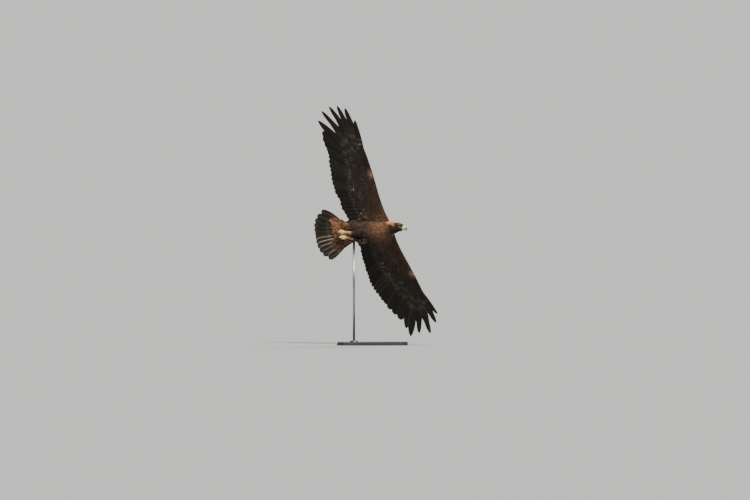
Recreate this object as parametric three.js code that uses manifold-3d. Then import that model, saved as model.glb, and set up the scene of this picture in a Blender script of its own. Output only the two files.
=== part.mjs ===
// A life-size golden eagle, soaring in a steep left bank, on a plain display stand.
// Units are millimetres. The stand is built in the part's frame, +Z up, with the origin under the middle of its base.
// The bird is built straight and level in a frame of its own, x forward, y to its left and z to its back,
// then its neck and tail are turned, and it is banked as one group.
import * as THREE from "three";
import { mergeVertices } from "three/addons/utils/BufferGeometryUtils.js";
import Module from "manifold-3d";

const wasm = await Module();
wasm.setup();

const { lerp: mix, smoothstep: smooth, clamp, degToRad } = THREE.MathUtils;
const vector = (x, y, z) => new THREE.Vector3(x, y, z);

// Driving dimensions of the bird
const SEAM = 0.3; // gap that neighbouring solids keep
const TAIL_JOINT_X = -205;
const NECK_BACK_X = 182;
const HEAD_BACK_X = 216;
const FACE_X = 282;
const WING_ROOT_Y = 86;
const DIHEDRAL = degToRad(6.6);
const CAMBER = 20;
const FINGER_RISE = 10;

// How far the head is turned about its own line and dipped, and how far the tail is twisted
const NECK = { from: 172, length: 73, roll: degToRad(30), dip: degToRad(10) };
const TWIST = { from: 110, to: 340, roll: degToRad(-25) };

// How the bird is held in the air
const HEADING = degToRad(-29.6);
const CLIMB = degToRad(5.2);
const BANK = degToRad(56);
const BODY_HEIGHT = 915;

// Driving dimensions of the stand
const BASE = { length: 560, depth: 440, thickness: 24, corner: 60 };
const ROD = { radius: 9, end: vector(-165, 0, -12) };
const COLLAR = { radius: 32, height: 14 };

// The trunk from tail to face: place along x, half width, top and bottom
const TRUNK = [
  [-205, 80, 24, -27],
  [-165, 83, 33, -42],
  [-115, 84, 43, -66],
  [-60, 84, 50, -88],
  [0, 84, 54, -98],
  [60, 83, 52, -93],
  [110, 76, 47, -78],
  [150, 66, 44, -61],
  [178, 57, 42, -51],
  [205, 50, 42, -44],
  [230, 43, 42, -36],
  [250, 38, 40, -30],
  [266, 32, 34, -26],
  [276, 25, 25, -22],
  [282, 18, 18, -18],
];
const TRUNK_SIDES = 24;

// The wing's flesh from shoulder to finger roots: place along u, middle and half of its depth along v, half thickness
const ARM = [
  [50, 72, 98, 36],
  [150, 85, 72, 26],
  [262, 88, 68, 19],
  [380, 112, 50, 14],
  [480, 132, 34, 11],
  [570, 143, 24, 8],
  [655, 152, 14, 5.5],
  [700, 155, 6, 3],
];

// Bends the straight bird: the head turns about its own line and dips, and the tail twists.
function pose(p) {
  const rigidX = NECK.from + NECK.length;
  const done = clamp((p.x - NECK.from) / NECK.length, 0, 1);
  const near = Math.min(p.x, rigidX);
  const sag = (NECK.dip * NECK.length * done ** 3) / 3;
  const roll = NECK.roll * smooth(p.x, NECK.from, rigidX) + TWIST.roll * smooth(-p.x, TWIST.from, TWIST.to);
  return vector(p.x - near, p.y, p.z)
    .applyAxisAngle(vector(0, 1, 0), NECK.dip * done ** 2)
    .add(vector(0, 0, -sag))
    .applyAxisAngle(vector(1, 0, 0), roll)
    .add(vector(near, 0, 0));
}

// Smooth interpolation of a table's columns at x, by a curve through its rows.
function through(table, x) {
  const last = table.length - 2;
  let i = table.findIndex((row, k) => k <= last && x <= table[k + 1][0]);
  if (i < 0) i = last;
  const [a, b] = [table[i], table[i + 1]];
  const before = table[Math.max(i - 1, 0)];
  const after = table[Math.min(i + 2, table.length - 1)];
  const t = (x - a[0]) / (b[0] - a[0]);
  return a.slice(1).map((value, k) => {
    const c = k + 1;
    const slopeA = ((b[c] - before[c]) / (b[0] - before[0])) * (b[0] - a[0]);
    const slopeB = ((after[c] - a[c]) / (after[0] - a[0])) * (b[0] - a[0]);
    const rise = b[c] - value;
    const square = 3 * rise - 2 * slopeA - slopeB;
    const cube = slopeA + slopeB - 2 * rise;
    return value + t * (slopeA + t * (square + t * cube));
  });
}

// Repeatable random numbers from 0 to 1.
function randomFrom(seed) {
  let state = seed;
  return () => {
    state = (state * 16807) % 2147483647;
    return state / 2147483647;
  };
}

// A solid from points and faces, turned so that its faces point out.
function solidOf(points, faces) {
  const build = (list) =>
    new wasm.Manifold(
      new wasm.Mesh({
        numProp: 3,
        vertProperties: new Float32Array(points),
        triVerts: new Uint32Array(list.flat()),
      }),
    );
  const made = build(faces);
  return made.volume() < 0 ? build(faces.map(([a, b, c]) => [a, c, b])) : made;
}

// A closed solid through rings of points. A ring of one point is a pole. A folded ring holds a thin plate's
// upper points and then its lower ones, and both faces are split into triangles along the same lines.
function loft(rings, folded = false) {
  const starts = [];
  let count = 0;
  for (const ring of rings) {
    starts.push(count);
    count += ring.length;
  }
  const faces = [];
  for (let k = 0; k + 1 < rings.length; k++) {
    const [near, far] = [rings[k].length, rings[k + 1].length];
    const sides = Math.max(near, far);
    for (let j = 0; j < sides; j++) {
      const a = starts[k] + (j % near);
      const aNext = starts[k] + ((j + 1) % near);
      const b = starts[k + 1] + (j % far);
      const bNext = starts[k + 1] + ((j + 1) % far);
      if (far === 1) faces.push([a, aNext, b]);
      else if (near === 1) faces.push([a, bNext, b]);
      else if (folded && j >= sides / 2) faces.push([a, aNext, b], [aNext, bNext, b]);
      else faces.push([a, aNext, bNext], [a, bNext, b]);
    }
  }
  const end = starts[starts.length - 1];
  for (let j = 1; j + 1 < rings[0].length; j++) faces.push([0, j + 1, j]);
  for (let j = 1; j + 1 < rings[rings.length - 1].length; j++) faces.push([end, end + j, end + j + 1]);
  return solidOf(
    rings.flat().flatMap((p) => [p.x, p.y, p.z]),
    faces,
  );
}

// A closed three.js geometry as a solid.
function solidFrom(geometry) {
  const bare = geometry.clone();
  bare.deleteAttribute("normal");
  bare.deleteAttribute("uv");
  const merged = mergeVertices(bare, 1e-3);
  const index = Array.from(merged.index.array);
  const faces = [];
  for (let i = 0; i < index.length; i += 3) faces.push(index.slice(i, i + 3));
  return solidOf(merged.attributes.position.array, faces);
}

const joined = (solids) => wasm.Manifold.union(solids);
const mirrored = (solid) => solid.mirror([0, 1, 0]);

// The largest closed surface of a solid, which drops scraps and fills sealed hollows.
const largest = (solid) => solid.decompose().reduce((a, b) => (b.volume() > a.volume() ? b : a));

// The stretch of a solid between two planes across the x axis.
const between = (solid, fromX, toX) => solid.trimByPlane([1, 0, 0], fromX).trimByPlane([-1, 0, 0], -toX);

// Puts a solid of the straight bird into its pose.
const posed = (solid) =>
  solid.warp((v) => {
    const p = pose(vector(...v));
    [v[0], v[1], v[2]] = [p.x, p.y, p.z];
  });

// A ring across the x axis: an oval of given half width, top and bottom.
function oval(x, [halfWidth, top, bottom], sides, grow = 0) {
  const middle = (top + bottom) / 2;
  const half = (top - bottom) / 2 + grow;
  return Array.from({ length: sides }, (_, j) => {
    const turn = (2 * Math.PI * j) / sides;
    return vector(x, (halfWidth + grow) * Math.cos(turn), middle + half * Math.sin(turn));
  });
}

// A stretch of the trunk between two places along x.
function trunk(from, to, steps, grow = 0) {
  const rings = [];
  for (let k = 0; k <= steps; k++) {
    const x = mix(from, to, k / steps);
    rings.push(oval(x, through(TRUNK, x), TRUNK_SIDES, grow));
  }
  return loft(rings);
}

// A limb of round section along points, with a radius at each. A radius of 0 ends it in a point.
function limb(points, radii, sides, side = vector(0, 1, 0)) {
  const rings = points.map((p, k) => {
    const before = points[Math.max(k - 1, 0)];
    const after = points[Math.min(k + 1, points.length - 1)];
    const along = after.clone().sub(before).normalize();
    const up = along.clone().cross(side).normalize();
    const across = up.clone().cross(along);
    if (radii[k] === 0) return [p];
    return Array.from({ length: sides }, (_, j) => {
      const turn = (2 * Math.PI * (j + 0.5)) / sides;
      return p
        .clone()
        .addScaledVector(across, radii[k] * Math.cos(turn))
        .addScaledVector(up, radii[k] * Math.sin(turn));
    });
  });
  return loft(rings);
}

// Feathers. A sheet is a surface that feathers lie on: it takes u outward from the midline, v forward and h upward.
// A feather's line runs from its root to its tip and bows toward the side of its outer vane.
const outerSide = (along) => new THREE.Vector2(-along.y, along.x).normalize();
function featherLine(root, tip, bow) {
  const along = tip.clone().sub(root);
  const outward = outerSide(along);
  const bend = along.length() * bow * 2;
  const middle = root.clone().lerp(tip, 0.5).addScaledVector(outward, bend);
  return new THREE.QuadraticBezierCurve(root, middle, tip);
}

// Where a feather's line passes a neighbour's, measured square to the feather's own line.
function gapTo(neighbour, place, across) {
  const along = new THREE.Vector2(across.y, -across.x);
  const ahead = (t) => {
    const inside = clamp(t, 0, 1);
    const p = neighbour.getPoint(inside);
    p.addScaledVector(neighbour.getTangent(inside), (t - inside) * neighbour.reach);
    return p.sub(place);
  };
  const sign = Math.sign(neighbour.getTangent(0.5).dot(along));
  let [low, high] = [-0.6, 1.6];
  for (let k = 0; k < 24; k++) {
    const half = (low + high) / 2;
    if (sign * ahead(half).dot(along) > 0) high = half;
    else low = half;
  }
  return Math.abs(ahead(low).dot(across));
}

// Half widths of a feather's inner and outer vane at stations along it, and the thickness at a shaft that stands out
const SHAPES = {
  finger: {
    stations: [0, 0.4, 0.69, 0.78, 0.965],
    inner: [9, 32, 40, 22, 18],
    outer: [5, 20, 22, 14, 11],
    shaft: [3.2, 2.6, 2.2, 2, 1.3],
  },
  leading: {
    stations: [0, 0.35, 0.6, 0.75, 0.955],
    inner: [9, 30, 34, 22, 16],
    outer: [5, 12, 12, 10, 8],
    shaft: [3.4, 2.8, 2.4, 2, 1.3],
  },
  flight: {
    stations: [0, 0.45, 0.86, 0.965],
    inner: [9, 30, 29, 18],
    outer: [5, 18, 18, 11],
    shaft: [3, 2.4, 1.6, 1.1],
  },
  covert: {
    stations: [0, 0.55, 0.9],
    inner: [6, 19, 12],
    outer: [6, 19, 12],
  },
};
const EDGE = 0.65; // thickness at a vane's edges
const LIFT = 1.35; // how far a feather's vane passes above its neighbour's
const REACH = { inner: 0.8, outer: 0.55 }; // share of the gap to a neighbour that a vane may cover

// One feather of a row, as a thin plate with a raised shaft. The row's sheet puts it in space.
function vane(row, i, sheet) {
  const { line, shape, height, width, flip } = row[i];
  const { stations, inner, outer, shaft } = SHAPES[shape];
  const rings = stations.map((t, k) => {
    const place = line.getPoint(t);
    const across = outerSide(line.getTangent(t));
    const gaps = { inner: row[i - 1], outer: row[i + 1] };
    const reach = {};
    const slope = {};
    for (const edge of ["inner", "outer"]) {
      const own = (edge === "inner" ? inner : outer)[k] * width;
      const gap = gaps[edge] ? gapTo(gaps[edge].line, place, across) : own / REACH[edge];
      reach[edge] = Math.min(own, gap * REACH[edge]);
      slope[edge] = LIFT / Math.max(gap, 14);
    }
    const h = height(t);
    const at = (w, lift) => {
      const bank = w * (w < 0 ? slope.inner * (flip ? -1 : 1) : slope.outer);
      return sheet(place.x + across.x * w, place.y + across.y * w, h + bank + lift);
    };
    const edge = EDGE / 2;
    const upper = [at(reach.outer, edge), at(-reach.inner, edge)];
    const lower = [at(-reach.inner, -edge), at(reach.outer, -edge)];
    if (shaft) {
      upper.splice(1, 0, at(0, shaft[k] / 2));
      lower.splice(1, 0, at(0, -shaft[k] / 2));
    }
    return [...upper, ...lower];
  });
  const end = line.getPoint(1);
  rings.push([sheet(end.x, end.y, height(1))]);
  return loft(rings, true);
}

const rowOf = (row, sheet) => row.map((_, i) => vane(row, i, sheet));

// The wing's surface: u outward along the span, v forward and h upward from it, for the left wing
function onWing(u, v, h) {
  const camber = CAMBER * (1 - smooth(u, 500, 1000)) * (1 - ((v + 20) / 200) ** 2);
  const rise = FINGER_RISE * smooth(u, 700, 1150);
  const z = camber + rise + h;
  return vector(v, u * Math.cos(DIHEDRAL) - z * Math.sin(DIHEDRAL), u * Math.sin(DIHEDRAL) + z * Math.cos(DIHEDRAL));
}

// The flesh of the arm and hand, a long tapered body behind the wing's leading edge
const ARM_STEPS = 10;
const ARM_SIDES = 10;
function armCore() {
  const rings = [];
  for (let k = 0; k <= ARM_STEPS; k++) {
    const u = mix(ARM[0][0], ARM[ARM.length - 1][0], k / ARM_STEPS);
    const [middle, half, thick] = through(ARM, u);
    rings.push(
      Array.from({ length: ARM_SIDES }, (_, j) => {
        const turn = (2 * Math.PI * j) / ARM_SIDES;
        const forward = Math.cos(turn);
        return onWing(u, middle + half * forward, thick * Math.sin(turn) * (1 + 0.3 * forward));
      }),
    );
  }
  return loft(rings);
}

// Tips of the ten primary feathers from the innermost to the foremost, (u, v), as each wing spreads them,
// and the trailing edge that the secondary feathers end on: place along u, and v
const PRIMARY_TIPS = {
  left: [[760, -214], [818, -206], [878, -184], [938, -159], [1035, -146], [1122, -144], [1098, -54], [1110, 44], [1005, 143], [914, 196]],
  right: [[757, -160], [802, -164], [845, -164], [891, -154], [989, -161], [1065, -102], [1096, -23], [1094, 50], [1068, 112], [955, 165]],
};
const TRAILING_EDGE = {
  left: [[100, -196], [168, -192], [260, -211], [384, -232], [509, -247], [635, -245], [760, -214]],
  right: [[100, -186], [207, -206], [316, -208], [407, -220], [575, -195], [645, -180], [757, -160]],
};
const SECONDARIES = 17;
const INNER_TIP_U = 98;
const WRIST = vector(410, 108, 0);
const HAND_STEP = { u: 20, v: 3.6 };
const ROOT_LINE = [
  [104, 26],
  [225, 34],
  [312, 62],
  [410, 108],
];

// The remiges of one wing as a row from the body out: seventeen secondaries, then ten primaries.
function remiges(label) {
  const random = randomFrom(label === "left" ? 11 : 29);
  const tips = PRIMARY_TIPS[label];
  const row = [];
  for (let k = SECONDARIES; k >= 1; k--) {
    const share = (k - 0.5) / SECONDARIES;
    const rootU = mix(WRIST.x, ROOT_LINE[0][0], share);
    const root = new THREE.Vector2(rootU, through(ROOT_LINE, rootU)[0]);
    const tipU = mix(tips[0][0] - 42, INNER_TIP_U, (k - 1) / (SECONDARIES - 1));
    const tip = new THREE.Vector2(tipU, through(TRAILING_EDGE[label], tipU)[0] + mix(-5, 5, random()));
    row.push(feather("flight", featherLine(root, tip, 0.05)));
  }
  tips.forEach(([u, v], k) => {
    const root = new THREE.Vector2(WRIST.x + HAND_STEP.u * k, WRIST.y + HAND_STEP.v * k);
    const isFinger = k >= 4;
    const bow = k < 7 ? 0.045 : 0.02;
    const line = featherLine(root, new THREE.Vector2(u, v), bow);
    if (k === tips.length - 1) row.push(feather("leading", line));
    else row.push(isFinger ? feather("finger", line) : feather("flight", line, () => 0, 1.35));
  });
  return row;
}

function feather(shape, line, height = () => 0, width = 1, flip = false) {
  line.reach = line.getLength();
  return { shape, line, height, width, flip };
}

// Greater coverts over the roots of the remiges, on the wing's upper or under side
const COVERT_RISE = 3.5;
function coverts(remexRow, side, random) {
  const every = remexRow.filter((_, i) => i % 2 === 0 && i < remexRow.length - 2);
  return every.map(({ line }, i) => {
    const from = line.getPoint(0.04);
    const share = 2 * i < SECONDARIES ? 0.44 : 0.3;
    const to = line.getPoint(share + mix(-0.025, 0.025, random()));
    const height = (t) => side * mix(COVERT_RISE + 1.5, COVERT_RISE, smooth(t, 0.2, 0.8));
    return feather("covert", featherLine(from, to, 0.02), height, 1.8);
  });
}

function wing(label) {
  const random = randomFrom(label === "left" ? 5 : 17);
  const row = remiges(label);
  const parts = [armCore(), ...rowOf(row, onWing)];
  for (const side of [1, -1]) parts.push(...rowOf(coverts(row, side, random), onWing));
  const whole = largest(joined(parts).trimByPlane([0, 1, 0], WING_ROOT_Y + SEAM / 2));
  return label === "left" ? whole : mirrored(whole);
}

// The trunk, with the shoulders that carry the wings and the hole that takes the stand's rod
const bodyCore = (grow = 0) => posed(trunk(TAIL_JOINT_X + SEAM / 2, NECK_BACK_X - SEAM / 2, 11, grow));
// The feathered shoulder that lies between the back and the wing: x, y, z, half width and half thickness
const SHOULDER = [
  [125, 62, 27, 16, 6],
  [60, 60, 30, 32, 16],
  [-40, 60, 27, 34, 17],
  [-130, 62, 20, 30, 11],
  [-190, 66, 12, 18, 5],
];
function shoulderMound() {
  const rings = SHOULDER.map(([x, y, z, halfWidth, thick]) =>
    Array.from({ length: 12 }, (_, j) => {
      const turn = (2 * Math.PI * j) / 12;
      return vector(x, y + halfWidth * Math.cos(turn), z + thick * Math.sin(turn));
    }),
  );
  return loft(rings);
}
function torso() {
  const shoulder = joined([armCore(), posed(shoulderMound())]);
  const width = WING_ROOT_Y - SEAM / 2;
  const whole = joined([bodyCore(), shoulder, posed(mirrored(shoulderMound())), mirrored(armCore())]);
  const trimmed = whole.trimByPlane([0, -1, 0], -width).trimByPlane([0, 1, 0], -width);
  return largest(trimmed.subtract(rodHole()));
}

const neck = () => posed(trunk(NECK_BACK_X + SEAM / 2, HEAD_BACK_X - SEAM / 2, 3));

// The head, with sockets for the eyes, lids around them, brows above and the corners of the mouth
const EYE = { place: vector(256, 27, 13), radius: 10.5, lid: 10.2, lidThickness: 1.8 };
const BROW = { path: [[240, 27, 21], [252, 30.5, 24.5], [264, 26, 23], [276, 16, 17]], radii: [3, 5.5, 5, 2.5] };
const MOUTH = { path: [[262, 27, -9], [271, 23.5, -10.5], [FACE_X, 15, -10.5]], radii: [1.6, 2.8, 3] };
function eyeBall(side, grow = 0) {
  const ball = new THREE.SphereGeometry(EYE.radius + grow, 14, 9);
  return solidFrom(ball.translate(EYE.place.x, side * EYE.place.y, EYE.place.z));
}
function eyeLid(side) {
  const ring = new THREE.TorusGeometry(EYE.lid, EYE.lidThickness, 5, 14).scale(1.05, 0.86, 1);
  ring.rotateX(side * degToRad(-76)).rotateZ(side * degToRad(-14));
  return solidFrom(ring.translate(EYE.place.x + 0.8, side * (EYE.place.y + 3.2), EYE.place.z + 1));
}
function pathLimb({ path, radii }, side) {
  const points = path.map(([x, y, z]) => vector(x, side * y, z));
  return limb(points, radii, 8, vector(0, 0, 1));
}
function head() {
  const parts = [trunk(HEAD_BACK_X + SEAM / 2, FACE_X, 9)];
  for (const side of [1, -1]) parts.push(eyeLid(side), pathLimb(BROW, side), pathLimb(MOUTH, side));
  const skull = joined(parts).trimByPlane([-1, 0, 0], -FACE_X);
  return largest(skull.subtract(eyeBall(1, SEAM)).subtract(eyeBall(-1, SEAM)));
}

// The bill: place along x and z, slope of its line downward in degrees, half width, reach upward and downward
const UPPER_BILL = [
  [291, 2, 6, 13, 13, 10.5],
  [297, 1.3, 10, 11.8, 12.6, 10],
  [303, 0, 17, 10, 11.7, 9.6],
  [309, -3, 27, 8.3, 10, 8.8],
  [314, -6.2, 38, 6.9, 8.6, 7.6],
  [318, -10, 51, 5.3, 6.9, 6.2],
  [321.5, -15, 64, 3.7, 4.7, 4.3],
  [323.6, -20.5, 76, 2.1, 2.6, 2.4],
  [324.2, -25.5, 84, 0.8, 0.9, 0.9],
];
const LOWER_BILL = [
  [283, -12, 8, 11.5, 4, 6.5],
  [290, -13, 8, 10.4, 4, 6],
  [298, -14.2, 9, 8.3, 4, 5.2],
  [306, -16, 12, 5.6, 3, 3.8],
  [312, -17.5, 20, 2.2, 1.4, 1.8],
];
const CERE = [
  [FACE_X + SEAM, 3, 0, 15.5, 14.5, 12],
  [287, 2.6, 4, 15, 14.6, 11.8],
  [UPPER_BILL[0][0] - SEAM, 2.2, 6, 14, 13.8, 11.2],
];
const BILL_SIDES = 14;
function billSolid(stations, grow = 0) {
  const rings = stations.map(([x, z, slope, halfWidth, up, down]) => {
    const angle = degToRad(slope);
    return Array.from({ length: BILL_SIDES }, (_, j) => {
      const turn = (2 * Math.PI * j) / BILL_SIDES;
      const reach = ((Math.sin(turn) > 0 ? up : down) + grow) * Math.sin(turn);
      return vector(x + reach * Math.sin(angle), (halfWidth + grow) * Math.cos(turn), z + reach * Math.cos(angle));
    });
  });
  return loft(rings);
}
const NOSTRIL = { x: 287.2, y: 14.6, z: 7, radius: 2, long: 1.5 };
function cere() {
  const nostril = (side) =>
    solidFrom(
      new THREE.SphereGeometry(NOSTRIL.radius, 8, 6)
        .scale(1, 1, NOSTRIL.long)
        .translate(NOSTRIL.x, side * NOSTRIL.y, NOSTRIL.z),
    );
  return largest(billSolid(CERE).subtract(nostril(1)).subtract(nostril(-1)));
}
const upperBill = () => largest(billSolid(UPPER_BILL));
function lowerBill() {
  const clear = [billSolid(UPPER_BILL, SEAM), billSolid(CERE, SEAM)];
  return largest(clear.reduce((solid, other) => solid.subtract(other), billSolid(LOWER_BILL)));
}

// Legs, tucked back under the tail, as on the left side
const LEG = {
  hip: vector(-20, 40, -62),
  knee: vector(-70, 44, -84),
  heel: vector(-120, 31, -73),
  ankle: vector(-214, 22, -50),
  foot: vector(-232, 22, -49),
};
const legPath = [LEG.hip, LEG.knee, LEG.heel, LEG.heel.clone().lerp(LEG.ankle, 0.5), LEG.ankle, LEG.foot];
const LEG_RADII = [30, 29, 17, 12, 9.5, 11];

// The toes: where each starts, sideways and upward from the foot's middle, its direction sideways in degrees,
// its length and radius, and how far it curls upward, then the length of its claw and how far that curls
const TOES = [
  { name: "inner", across: -9, up: -1, spread: -9, length: 38, radius: 7.5, curl: 9, claw: 34, hook: 75 },
  { name: "middle", across: 0, up: -3, spread: 1, length: 56, radius: 7.5, curl: 7, claw: 30, hook: 75 },
  { name: "outer", across: 9, up: -1, spread: 11, length: 40, radius: 6.5, curl: 7, claw: 25, hook: 75 },
  { name: "hind", across: -4, up: 13, spread: -14, length: 24, radius: 6, curl: 4, claw: 32, hook: 34 },
];

// Points along a toe, and then along its claw, which goes on curling.
function toePath({ across, up, spread, length, curl }) {
  const start = LEG.foot.clone().add(vector(6, across, up));
  const side = degToRad(spread);
  const points = [start];
  for (let k = 1; k <= 4; k++) {
    const rise = degToRad(curl) * (k / 4) * 1.6 - degToRad(curl) * 0.5;
    const step = length / 4;
    const flat = Math.cos(rise) * step;
    points.push(
      points[k - 1].clone().add(vector(-flat * Math.cos(side), flat * Math.sin(side), Math.sin(rise) * step)),
    );
  }
  return points;
}
function toe(spec) {
  const r = spec.radius;
  return limb(toePath(spec), [r, r * 1.06, r * 0.92, r, r * 0.72], 8);
}
function claw(spec) {
  const points = toePath(spec);
  const along = points[4].clone().sub(points[3]).normalize();
  const side = degToRad(spec.spread);
  const level = vector(-Math.cos(side), Math.sin(side), 0);
  const startRise = Math.asin(along.z);
  const path = [points[4].clone().addScaledVector(along, SEAM)];
  const steps = 5;
  for (let k = 1; k <= steps; k++) {
    const rise = startRise + (degToRad(spec.hook) * (k - 1)) / (steps - 1);
    const step = spec.claw / steps;
    const move = level.clone().multiplyScalar(Math.cos(rise) * step);
    move.z += Math.sin(rise) * step;
    path.push(path[k - 1].clone().add(move));
  }
  const r = spec.radius * 0.58;
  return limb(path, [r, r * 0.92, r * 0.75, r * 0.55, r * 0.32, 0], 8);
}

// Everything that a leg's pieces must stay clear of
const aroundLegs = () => joined([bodyCore(SEAM), posed(tailCore(SEAM))]);
function legPiece(side, extra, fromX, toX) {
  const whole = joined([limb(legPath, LEG_RADII, 12), ...extra]);
  const placed = posed(side > 0 ? whole : mirrored(whole));
  return largest(between(placed.subtract(aroundLegs()), fromX, toX));
}
const thigh = (side) => legPiece(side, [], LEG.heel.x + SEAM / 2, 0);
const shank = (side) => legPiece(side, [], LEG.ankle.x + SEAM / 2, LEG.heel.x - SEAM / 2);
const foot = (side) => legPiece(side, TOES.map(toe), TAIL_JOINT_X * 2, LEG.ankle.x - SEAM / 2);

// The tail's surface: u outward from the midline, v forward from the tail's joint and h upward
const onTail = (u, v, h) => vector(TAIL_JOINT_X - SEAM / 2 + v, u, h - 4);

// The root of the tail: distance behind the joint, half width, half thickness
const TAIL_ROOT = [
  [0, 87, 24],
  [40, 92, 14],
  [85, 82, 8],
  [125, 36, 3.5],
];
function tailCore(grow = 0) {
  const rings = TAIL_ROOT.map(([back, halfWidth, thick]) =>
    Array.from({ length: 20 }, (_, j) => {
      const turn = (2 * Math.PI * j) / 20;
      return onTail((halfWidth + grow) * Math.cos(turn), -back, (thick + grow) * Math.sin(turn));
    }),
  );
  return loft(rings);
}

// Tips of the tail feathers from the middle outward, (u, v), and the coverts' spread above and below them
const TAIL_TIPS = [[17, -320], [52, -320], [89, -315], [125, -301], [159, -275], [192, -230]];
const TAIL_COVERTS = { count: 5, from: -50, to: -150, spread: 128 };

// Half of the tail: its feathers, and coverts above and below. The right middle feather passes under the left.
function tailSide(side) {
  const random = randomFrom(side > 0 ? 41 : 43);
  const row = TAIL_TIPS.map(([u, v], k) => {
    const root = new THREE.Vector2(4 + 6 * k, -6);
    const line = featherLine(root, new THREE.Vector2(u, v), 0.012 * k);
    return feather("flight", line, () => 0, 1.08, k === 0 && side > 0);
  });
  const across = row[0].line.clone();
  const opposite = featherLine(
    new THREE.Vector2(-across.v0.x, across.v0.y),
    new THREE.Vector2(-across.v2.x, across.v2.y),
    0,
  );
  const all = [feather("flight", opposite), ...row];
  const parts = row.map((_, k) => vane(all, k + 1, onTail));
  for (const face of [1, -1]) {
    const { count, from, to, spread } = TAIL_COVERTS;
    const fan = Array.from({ length: count }, (_, k) => {
      const share = (k + 0.5) / count;
      const root = new THREE.Vector2(72 * share, from * (1 - share) - 8);
      const tip = new THREE.Vector2(spread * share, to + 80 * share ** 2 + mix(-5, 5, random()));
      return feather("covert", featherLine(root, tip, 0.06), () => face * 3.6, 1.2);
    });
    parts.push(...rowOf(fan, onTail));
  }
  const whole = joined(parts);
  return side > 0 ? whole : mirrored(whole);
}
const tail = () => largest(posed(joined([tailCore(), tailSide(1), tailSide(-1)])));

// The bird's place on the stand
const eagle = new THREE.Group();
eagle.rotation.set(-BANK, -CLIMB, HEADING, "ZYX");
eagle.position.set(0, 0, BODY_HEIGHT);
eagle.updateMatrix();
const rodEnd = ROD.end.clone().applyMatrix4(eagle.matrix);

// The hole for the rod, in the bird's own frame.
function rodHole() {
  const intoBird = eagle.matrix.clone().invert();
  const low = vector(rodEnd.x, rodEnd.y, BASE.thickness).applyMatrix4(intoBird);
  const high = vector(rodEnd.x, rodEnd.y, rodEnd.z + SEAM).applyMatrix4(intoBird);
  return limb([low, high], [ROD.radius + SEAM, ROD.radius + SEAM], 20, vector(1, 0, 0));
}

function rodGeometry() {
  const bottom = BASE.thickness + SEAM;
  const height = rodEnd.z - bottom;
  return new THREE.CylinderGeometry(ROD.radius, ROD.radius, height, 20)
    .rotateX(Math.PI / 2)
    .translate(rodEnd.x, rodEnd.y, bottom + height / 2);
}

function collarGeometry() {
  const inner = ROD.radius + SEAM;
  const profile = [
    [inner, 0],
    [COLLAR.radius, 0],
    [COLLAR.radius, COLLAR.height * 0.4],
    [COLLAR.radius * 0.6, COLLAR.height],
    [inner, COLLAR.height],
    [inner, 0],
  ].map(([r, z]) => new THREE.Vector2(r, z));
  return new THREE.LatheGeometry(profile, 24)
    .rotateX(Math.PI / 2)
    .translate(rodEnd.x, rodEnd.y, BASE.thickness + SEAM);
}

function baseGeometry() {
  const { length, depth, thickness, corner } = BASE;
  const outline = new THREE.Shape();
  const [x, y] = [length / 2 - corner, depth / 2 - corner];
  outline.absarc(x, y, corner, 0, Math.PI / 2);
  outline.absarc(-x, y, corner, Math.PI / 2, Math.PI);
  outline.absarc(-x, -y, corner, Math.PI, 1.5 * Math.PI);
  outline.absarc(x, -y, corner, 1.5 * Math.PI, 2 * Math.PI);
  return new THREE.ExtrudeGeometry(outline, { depth: thickness, bevelEnabled: false, curveSegments: 6 });
}

// Finishes
const finish = (color, roughness, metalness = 0) => new THREE.MeshStandardMaterial({ color, roughness, metalness });
const FINISHES = {
  plumage: finish(0x3b2a1e, 0.85),
  flight: finish(0x2a2320, 0.8),
  nape: finish(0xa5683a, 0.85),
  cere: finish(0xd8b13a, 0.5),
  bill: finish(0x25252a, 0.35),
  eye: finish(0x8a5a22, 0.1),
  foot: finish(0xdcb64c, 0.6),
  claw: finish(0x16161a, 0.3),
  steel: finish(0x8d8f92, 0.35, 0.9),
  base: finish(0x2c2c2e, 0.5),
};

function geometryOf(solid) {
  const { vertProperties, triVerts } = solid.getMesh();
  const geometry = new THREE.BufferGeometry();
  geometry.setAttribute("position", new THREE.BufferAttribute(new Float32Array(vertProperties), 3));
  geometry.setIndex(new THREE.BufferAttribute(new Uint32Array(triVerts), 1));
  geometry.computeVertexNormals();
  return geometry;
}

function add(group, name, geometry, material) {
  const mesh = new THREE.Mesh(geometry, material);
  mesh.name = name;
  group.add(mesh);
}
const addSolid = (name, solid, material) => add(eagle, name, geometryOf(solid), material);

addSolid("torso", torso(), FINISHES.plumage);
addSolid("neck", neck(), FINISHES.nape);
addSolid("head", posed(head()), FINISHES.nape);
addSolid("cere", posed(cere()), FINISHES.cere);
addSolid("bill_upper", posed(upperBill()), FINISHES.bill);
addSolid("bill_lower", posed(lowerBill()), FINISHES.bill);
addSolid("tail", tail(), FINISHES.flight);
for (const [label, side] of [["left", 1], ["right", -1]]) {
  addSolid(`wing_${label}`, wing(label), FINISHES.flight);
  addSolid(`eye_${label}`, posed(eyeBall(side)), FINISHES.eye);
  addSolid(`thigh_${label}`, thigh(side), FINISHES.plumage);
  addSolid(`shank_${label}`, shank(side), FINISHES.nape);
  addSolid(`foot_${label}`, foot(side), FINISHES.foot);
  for (const spec of TOES) {
    const solid = claw(spec);
    addSolid(`claw_${spec.name}_${label}`, posed(side > 0 ? solid : mirrored(solid)), FINISHES.claw);
  }
}

const part = new THREE.Group();
part.add(eagle);
add(part, "stand_base", baseGeometry(), FINISHES.base);
add(part, "stand_rod", rodGeometry(), FINISHES.steel);
add(part, "stand_collar", collarGeometry(), FINISHES.steel);

export default part;
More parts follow.
